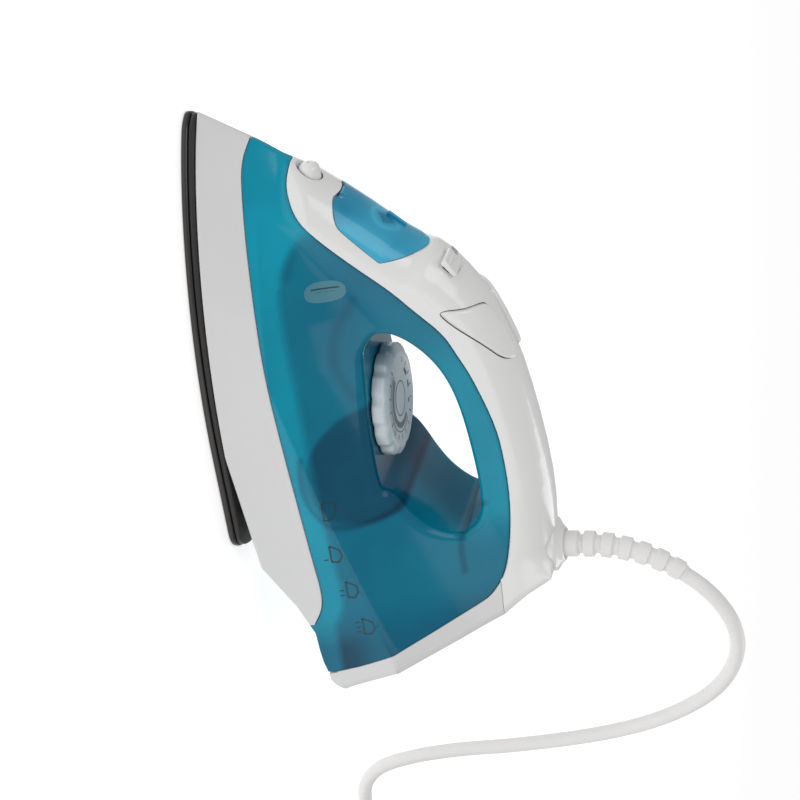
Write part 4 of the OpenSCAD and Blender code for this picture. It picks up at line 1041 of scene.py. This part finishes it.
class IRON_OT_shell(bpy.types.Operator):
    """The white handle shell from the rounded bonnet to the cord, with the pockets of the
    keys, the door, the selector, the nozzle and the bushing cut out."""
    bl_idname = "iron.shell"
    bl_label = "Handle shell"

    def execute(self, context):
        x = np.hstack([spaced(-143.5, -110, 50, 0.5), spaced(-110, 76.6, 230, 0.15)[1:]])
        split = height(x, SPLIT) + PARTING / 2
        low = np.where(x < COVER_NOSE, np.full_like(x, COVER_TOP + 0.1), split)
        high = np.maximum(height(x, TOP), low + 0.1)
        s = np.sin(np.linspace(0, np.pi / 2, 64))
        z = low[:, None] + (high - low)[:, None] * s[None, :]
        xx = np.broadcast_to(x[:, None], z.shape)
        half = body_half(xx, z) - rolled(z - low[:, None], props().detail.seam / MM)
        half[:, -1] = np.where(x > -112, 0, half[:, -1])
        points, quads = two_sided(x, z, np.maximum(half, 0))
        shell = piece("handle", points, quads, finish("white"), "iron", ["handle_shell"],
            40)
        across = np.linspace(35.6, 62.4, 40)
        under = height(across, DOOR) - 1.3 * PARTING
        lid = two_sided(across, under[:, None] + np.array([0, 30.0])[None, :], np.full((40, 2), 30.0))
        slot = soft_box([-5.4, -12.6, -1.3], [5.4, 12.6, 8], 0.8)
        slit = soft_box([-1.9, -9.6, -6], [1.9, 9.6, 3], 0.6)
        bore = lathe([0, 5.35, 5.35, 0], [-1, -1, 30, 30], [NOZZLE_X, 0, NOZZLE_Z], [1, 0, 0], 64)
        seat = lathe([0, 12.7, 12.7, 0], [0, 0, 20, 20], [RELIEF_X, 0, RELIEF_Z - 5.1], [0, 0, 1], 96)
        well = soft_box([34.2, -9.9, 45], [56, 9.9, 90], 0.8)
        carve(shell, [cutter("lid", lid), cutter("well", well),
            cutter("slot", (turned(slot[0], FACET_AT, FACET_TILT), slot[1])),
            cutter("slit", (turned(slit[0], FACET_AT, FACET_TILT), slit[1])),
            cutter("bore", bore), cutter("seat", seat),
            cutter("left", leaf_block(1, 0.5, -16, 20)), cutter("right", leaf_block(-1, 0.5, -16, 20))], 35)
        return {"FINISHED"}


class IRON_OT_cover(bpy.types.Operator):
    """The white rear cover with its flat heel face, on which the iron stands up."""
    bl_idname = "iron.cover"
    bl_label = "Rear cover"

    def execute(self, context):
        x = np.hstack([spaced(-167.8, -157.2, 40), spaced(-157.2, -125.4, 90)[1:]])
        tail = height(x, UNDER) + PARTING / 2
        low = tail + (height(x, SPLIT) + PARTING / 2 - tail) * ease(-158.4, -157.4, x)
        high = np.maximum(np.minimum(height(x, TOP), COVER_TOP + 0.05), low + 0.2)
        z = low[:, None] + (high - low)[:, None] * spaced(0, 1, 40, 0.9)[None, :]
        xx = np.broadcast_to(x[:, None], z.shape)
        half = body_half(xx, z) - rolled(z - low[:, None], props().detail.seam / MM)
        points, quads = two_sided(x, z, np.maximum(half, 0.5))
        cover = piece("heel_cover", points, quads, finish("skirt white"), "iron", ["rear_cover"],
            40)
        tilt = math.atan(83 / 28)
        out = np.array([-math.sin(tilt), 0, math.cos(tilt)])
        heads = []
        for y in (22, -22):
            origin = np.array([-165 + 10 / math.tan(tilt), y, 60]) - 13 * out
            heads.append(cutter("head",
                lathe([0, 1.75, 1.75, 3.3, 3.3, 0], [0, 0, 11.5, 11.5, 16, 16], origin, out, 40)))
        carve(cover, heads, 40)
        return {"FINISHED"}


class IRON_OT_door(bpy.types.Operator):
    """The sky-blue fill door: a thin shell over the filling funnel with a finger tab and the
    barrel of its hinge."""
    bl_idname = "iron.door"
    bl_label = "Fill door"

    def execute(self, context):
        sheet, flip = door_sheet(36.0, 61.6, 26, 0.3)
        points, quads = thick_sheet(sheet, flip * 1.6)
        ridge = soft_box([-4.8, -4.4, -0.6], [4.8, -3.2, 1.8], 0.5)
        at = (45, 0, float(height(45.0, TOP)))
        barrel = lathe([0, 1.5, 1.8, 1.8, 1.5, 0], [-3.1, -3.1, -2.8, 2.8, 3.1, 3.1],
            [60.2, 0, 63.2], [0, 1, 0], 32)
        points, quads = joined([(points, quads), (turned(ridge[0], at, 47), ridge[1]), barrel])
        door = piece("door", points, quads, finish("clear sky blue"), "door", ["fill_door"],
            40)
        # painted shade of the funnel's mouth and painted light on the door's near side
        paint(door, "depth", door_painted_light_and_shade)
        return {"FINISHED"}


def door_painted_light_and_shade(x, y, z):
    """Painted light and shade of the door: the funnel's mouth seen through it, a dark lozenge of
    painted shade in a pale ring, darker towards the hinge, and lighter towards its near (+y)
    edge by a painted light."""
    away = np.hypot((x - 48) * 1.4, y)
    lozenge = 1 - ease(3.6, 4.8, np.abs(x - 48) * 1.4 + np.abs(y))
    ring = ease(4.6, 5.6, away) * (1 - ease(6.4, 7.6, away))
    depth = 0.35 + 0.35 * ease(50, 58, x) + 0.6 * lozenge - 0.3 * ring - 0.3 * ease(9, 15, y)
    return np.clip(depth, 0, 1)


DIAL_AT, DIAL_SEAT = (-42.0, 0.0), 66.6


class IRON_OT_dial(bpy.types.Operator):
    """The temperature dial: a turned cap whose rim is fluted, with a printed ring of marks."""
    bl_idname = "iron.dial"
    bl_label = "Temperature dial"

    def execute(self, context):
        r = np.array([0, 24.2, 24.7, 25, 25, 24.8, 24.2, 23.0, 21.6, 20.8, 20.2, 19.8, 19.4, 0])
        z = np.array([0, 0, 0.25, 0.8, 4.4, 5.1, 5.8, 6.4, 6.8, 7.0, 7.0, 6.9, 6.65, 6.65])
        lobes = props().detail.dial_lobes

        def flutes(radius, angle):
            """Shallow scallops, deepest at the rim: the radius falls by a share of a cosine."""
            deep = ease(19.8, 24.6, radius)
            wave = np.clip((np.cos(lobes * angle) + 0.15) / 1.15, 0, 1) ** 1.6
            return radius - 1.15 * deep * wave

        points, quads = lathe(r, z, [*DIAL_AT, DIAL_SEAT], [0, 0, 1], 288, flutes)
        piece("dial_cap", points, quads, finish("dial"), "dial", ["temperature_dial"],
            40)
        shapes = [arc_band(10.6, 13.2, 20, 205), arc_band(14.6, 15.1, 20, 205)]
        shapes += [arc_band(16.1, 18.4, a - 1.1, a + 1.1) for a in range(20, 321, 20)]
        shapes += [arc_band(0.05, 1.1, 0, 360, (14.2 * math.cos(a), 14.2 * math.sin(a)))
            for a in np.radians([235, 262, 268, 289, 295, 301])]
        shapes.append(arc_band(7.4, 8.0, 0, 360))
        points, quads = joined(shapes)
        piece("dial_print", points, quads, finish("print"), "dial", [], 40)
        return {"FINISHED"}


def arc_band(inner, outer, first, last, centre=(0.0, 0.0)):
    """A thin flat band of print on the dial between two radii and two angles."""
    angle = np.radians(np.linspace(first, last, max(3, int(abs(last - first) / 3) + 2)))
    level = DIAL_SEAT + 6.65
    rows = []
    for radius, top in ((inner, -0.05), (inner, 0.06), (outer, 0.06), (outer, -0.05)):
        rows.append(np.stack([DIAL_AT[0] + centre[0] + radius * np.cos(angle),
            DIAL_AT[1] + centre[1] + radius * np.sin(angle), np.full_like(angle, level + top)], -1))
    points = np.array(rows)
    index = np.arange(4 * len(angle)).reshape(4, len(angle))
    quads = [grid_quads(np.vstack([index, index[:1]])).reshape(-1, 4)]
    if last - first < 360:
        quads += [index[:, :1].T, index[:, -1:].T]
    return points.reshape(-1, 3), np.vstack(quads)


class IRON_OT_selector(bpy.types.Operator):
    """The sliding steam selector: a rounded knob with a sloping finger face and three ridges."""
    bl_idname = "iron.selector"
    bl_label = "Steam selector"

    def execute(self, context):
        y = 5.5
        body = soft_box([-4.3, y - 6, -1.0], [4.3, y + 6, 1.9], 0.9)
        slope = body[0].copy()
        slope[:, 2] -= 0.9 * ease(2.0, -4.3, slope[:, 0]) * (slope[:, 2] > 0.8)
        shapes = [(slope, body[1])]
        for x in (-2.2, -0.4, 1.4):
            top = 2.1 - 0.25 * (1.4 - x)
            shapes.append(soft_box([x - 0.35, y - 4.6, 0.5], [x + 0.35, y + 4.6, top], 0.3, 4))
        shapes.append(soft_box([-1.5, y - 1.5, -5], [1.5, y + 1.5, -0.5], 0.3, 4))
        points, quads = joined(shapes)
        piece("selector_knob", turned(points, FACET_AT, FACET_TILT), quads, finish("white"),
            "selector", ["steam_selector"], 40)
        return {"FINISHED"}


class IRON_OT_nozzle(bpy.types.Operator):
    """The domed spray nozzle, with a dark ring of painted shade in the gap round it."""
    bl_idname = "iron.nozzle"
    bl_label = "Spray nozzle"

    def execute(self, context):
        t = np.radians(np.linspace(0, 80, 14))
        r = np.hstack([0, 4.3, 4.7, 4.7, 4.5, 4.45 * np.cos(t), 0.7, 0.6, 0.0])
        x = np.hstack([0, 0, 0.5, 8.5, 12.2, 12.5 + 2.75 * np.sin(t), 15.25, 14.8, 13.0])
        points, quads = lathe(r, x, [NOZZLE_X, 0, NOZZLE_Z], [1, 0, 0], 72)
        piece("nozzle", points, quads, finish("white"), "iron", ["spray_nozzle"], 50)
        # a dark disc at the bottom of the bore: painted shade of the gap round the nozzle
        ring = lathe([0, 5.3, 5.3, 0], [0, 0, 1.2, 1.2], [NOZZLE_X + 6.5, 0, NOZZLE_Z], [1, 0, 0], 64)
        piece("nozzle_gap_shade", ring[0], ring[1], finish("gap shade"), "iron", [], 40)
        return {"FINISHED"}


class IRON_OT_marks(bpy.types.Operator):
    """The water level patch on the tank and four plain usage signs, all without lettering."""
    bl_idname = "iron.marks"
    bl_label = "Marks"

    def execute(self, context):
        oval = oval_outline(25, 55, 8.6, 4.6)
        rings = [oval, oval_outline(25, 55, 6.2, 2.2), oval_outline(25, 55, 4.2, 0.1)]
        parts = [skin_patch(a, b, 0.1, side) for a, b in zip(rings, rings[1:]) for side in (1, -1)]
        self.made("level_marks", parts, "level patch")
        line = [skin_patch(*bar(26.4, 49.2, 26.4, 60.8, 0.6), 0.18, side) for side in (1, -1)]
        self.made("level_line", line, "sign")
        signs = []
        for k, (x, z) in enumerate(((-70, 48), (-92, 48), (-111, 52.5), (-131, 57))):
            signs += sign(x, z, k)
        parts = [skin_patch(a, b, 0.08, side) for a, b in signs for side in (1, -1)]
        self.made("usage_signs", parts, "sign")
        return {"FINISHED"}

    def made(self, name, parts, look):
        """One piece of several patches on the tank."""
        points, quads = joined(parts)
        piece(name, points, quads, finish(look), "iron", [], 60)


OVAL_POWER = 0.8


def oval_outline(x, z, half_x, half_z, count=48):
    """A flat-sided oval in the side view: a circle's sine and cosine at a power below 1."""
    a = np.linspace(0, 2 * np.pi, count + 1)
    c, s = (np.sign(v) * np.abs(v) ** OVAL_POWER for v in (np.cos(a), np.sin(a)))
    return np.stack([x + half_z * c, z + half_x * s], -1)


def bar(x0, z0, x1, z1, width):
    """The two long edges of a straight stroke."""
    way = np.array([x1 - x0, z1 - z0], float)
    off = np.array([-way[1], way[0]]) / np.linalg.norm(way) * width / 2
    line = np.linspace([x0, z0], [x1, z1], 12)
    return line + off, line - off


def sign(x, z, kind):
    """Plain strokes: a small iron seen from its side, and as many drops as its number."""
    body = np.array([[4.2, -2.6], [-4.2, -2.6], [-4.2, 0.4], [-1.5, 2.4], [2.2, 2.0], [4.2, -2.6]])
    strokes = [bar(x + a[0], z + a[1], x + b[0], z + b[1], 0.8) for a, b in zip(body[:-1], body[1:])]
    for k in range(kind):
        at = x - 3 + 2.6 * k
        strokes.append(bar(at, z - 4.0, at - 0.5, z - 6.0, 0.6))
    return strokes


def skin_patch(edge, inner, lift, side):
    """A thin patch on the tank's side between two edges in the side view: the edges lie on
    the skin, a little proud, and close below it."""
    edge, inner = np.asarray(edge, float), np.asarray(inner, float)
    rows = []
    for line, rise in ((edge, -0.3), (edge, lift), (inner, lift), (inner, -0.3)):
        y = side * (body_half(line[:, 0], line[:, 1]) + rise)
        rows.append(np.stack([line[:, 0], y, line[:, 1]], -1))
    points = np.array(rows)
    n = points.shape[1]
    index = np.arange(4 * n).reshape(4, n)
    quads = [grid_quads(np.vstack([index, index[:1]])).reshape(-1, 4)]
    if np.linalg.norm(edge[0] - edge[-1]) > 0.01:
        quads += [index[:, :1].T, index[:, -1:].T]
    return points.reshape(-1, 3), np.vstack(quads)


class IRON_OT_cad_finishes(bpy.types.Operator):
    """Gives the carried-over parts their own finishes."""
    bl_idname = "iron.cad_finishes"
    bl_label = "Finishes of the inner parts"

    def execute(self, context):
        for node, look in CAD_FINISHES.items():
            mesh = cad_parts[node].data
            if not mesh.materials:
                mesh.materials.append(None)
            for k in range(len(mesh.materials)):
                mesh.materials[k] = finish(look)
        # the tank base gets an even middle value of the painted light and shade
        paint(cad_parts["tank_base"], "depth", lambda x, y, z: 0 * x + 0.5)
        return {"FINISHED"}


FLOOR_REACH, FLOOR_DROP = 9.0, -0.0002
LAMPS = (("key", (0.75, 0.55, 1.1), 0.9, 4.6, (1, 1, 1)),
    ("side", (-0.5, 1.3, 0.5), 0.8, 2.0, (1, 0.99, 0.98)),
    ("rim", (-0.9, -0.5, 0.9), 0.7, 3.0, (0.98, 0.99, 1)))
LAMP_AIM = [-0.03, 0, 0.07]


class IRON_OT_stage(bpy.types.Operator):
    """The pale glossy floor and the soft studio light."""
    bl_idname = "iron.stage"
    bl_label = "Stage"

    def execute(self, context):
        mesh = bpy.data.meshes.new("floor")
        corners = [(a * FLOOR_REACH, b * FLOOR_REACH, FLOOR_DROP)
            for a, b in ((-1, -1), (1, -1), (1, 1), (-1, 1))]
        mesh.from_pydata(corners, [], [(0, 1, 2, 3)])
        floor = bpy.data.objects.new("floor", mesh)
        context.scene.collection.objects.link(floor)
        paper = bpy.data.materials.new("Pale floor")
        paper.use_nodes = True
        bsdf = paper.node_tree.nodes["Principled BSDF"]
        bsdf.inputs["Base Color"].default_value = (0.95, 0.95, 0.95, 1)
        bsdf.inputs["Roughness"].default_value = 0.22
        bsdf.inputs["IOR"].default_value = 1.7
        bsdf.inputs["Emission Color"].default_value = (1, 1, 1, 1)
        bsdf.inputs["Emission Strength"].default_value = 0.5
        mesh.materials.append(paper)
        world = bpy.data.worlds.new("Studio")
        world.use_nodes = True
        world.node_tree.nodes["Background"].inputs["Color"].default_value = (1, 1, 1, 1)
        world.node_tree.nodes["Background"].inputs["Strength"].default_value = 0.48
        context.scene.world = world
        for lamp in LAMPS:
            self.lamp(*lamp)
        context.scene.view_settings.view_transform = "Standard"
        return {"FINISHED"}

    def lamp(self, name, place, size, power, colour):
        """A square area lamp that faces the iron."""
        light = bpy.data.lights.new(name, "AREA")
        light.size, light.energy, light.color = size, power, colour
        lamp = bpy.data.objects.new(name, light)
        away = (np.array(place) - LAMP_AIM).tolist()
        lamp.matrix_world = Vector(away).to_track_quat("Z", "Y").to_matrix().to_4x4()
        lamp.location = place
        bpy.context.scene.collection.objects.link(lamp)


PIECES = ("camera", "relief", "cord", "tank", "sole", "skirt", "shell", "cover", "door", "keys", "dial",
    "selector", "nozzle", "marks", "cad_finishes", "stage")


class IRON_PT_panel(bpy.types.Panel):
    """Lists the iron's pieces and its settings."""
    bl_idname = "IRON_PT_panel"
    bl_label = "Steam iron"
    bl_space_type = "VIEW_3D"
    bl_region_type = "UI"
    bl_category = "Iron"

    def draw(self, context):
        for name in PIECES:
            self.layout.operator("iron." + name)
        for group in ("tank", "look", "detail"):
            box = self.layout.box()
            settings = getattr(context.scene.steam_iron, group)
            for key in settings.__annotations__:
                box.prop(settings, key)


CLASSES = (TankSettings, LookSettings, DetailSettings, IronSettings, IRON_OT_camera, IRON_OT_relief,
    IRON_OT_cord, IRON_OT_tank, IRON_OT_sole, IRON_OT_skirt, IRON_OT_shell, IRON_OT_cover,
    IRON_OT_door, IRON_OT_keys, IRON_OT_dial, IRON_OT_selector, IRON_OT_nozzle, IRON_OT_marks,
    IRON_OT_cad_finishes, IRON_OT_stage, IRON_PT_panel)


def register():
    """Registers the classes and hangs the settings on the scene."""
    for cls in CLASSES:
        bpy.utils.register_class(cls)
    bpy.types.Scene.steam_iron = PointerProperty(type=IronSettings)


def unregister():
    """Takes the settings and the classes away again."""
    del bpy.types.Scene.steam_iron
    for cls in reversed(CLASSES):
        bpy.utils.unregister_class(cls)


def main():
    """Makes every piece in order."""
    register()
    for name in PIECES:
        getattr(bpy.ops.iron, name)()


if __name__ == "__main__":
    main()
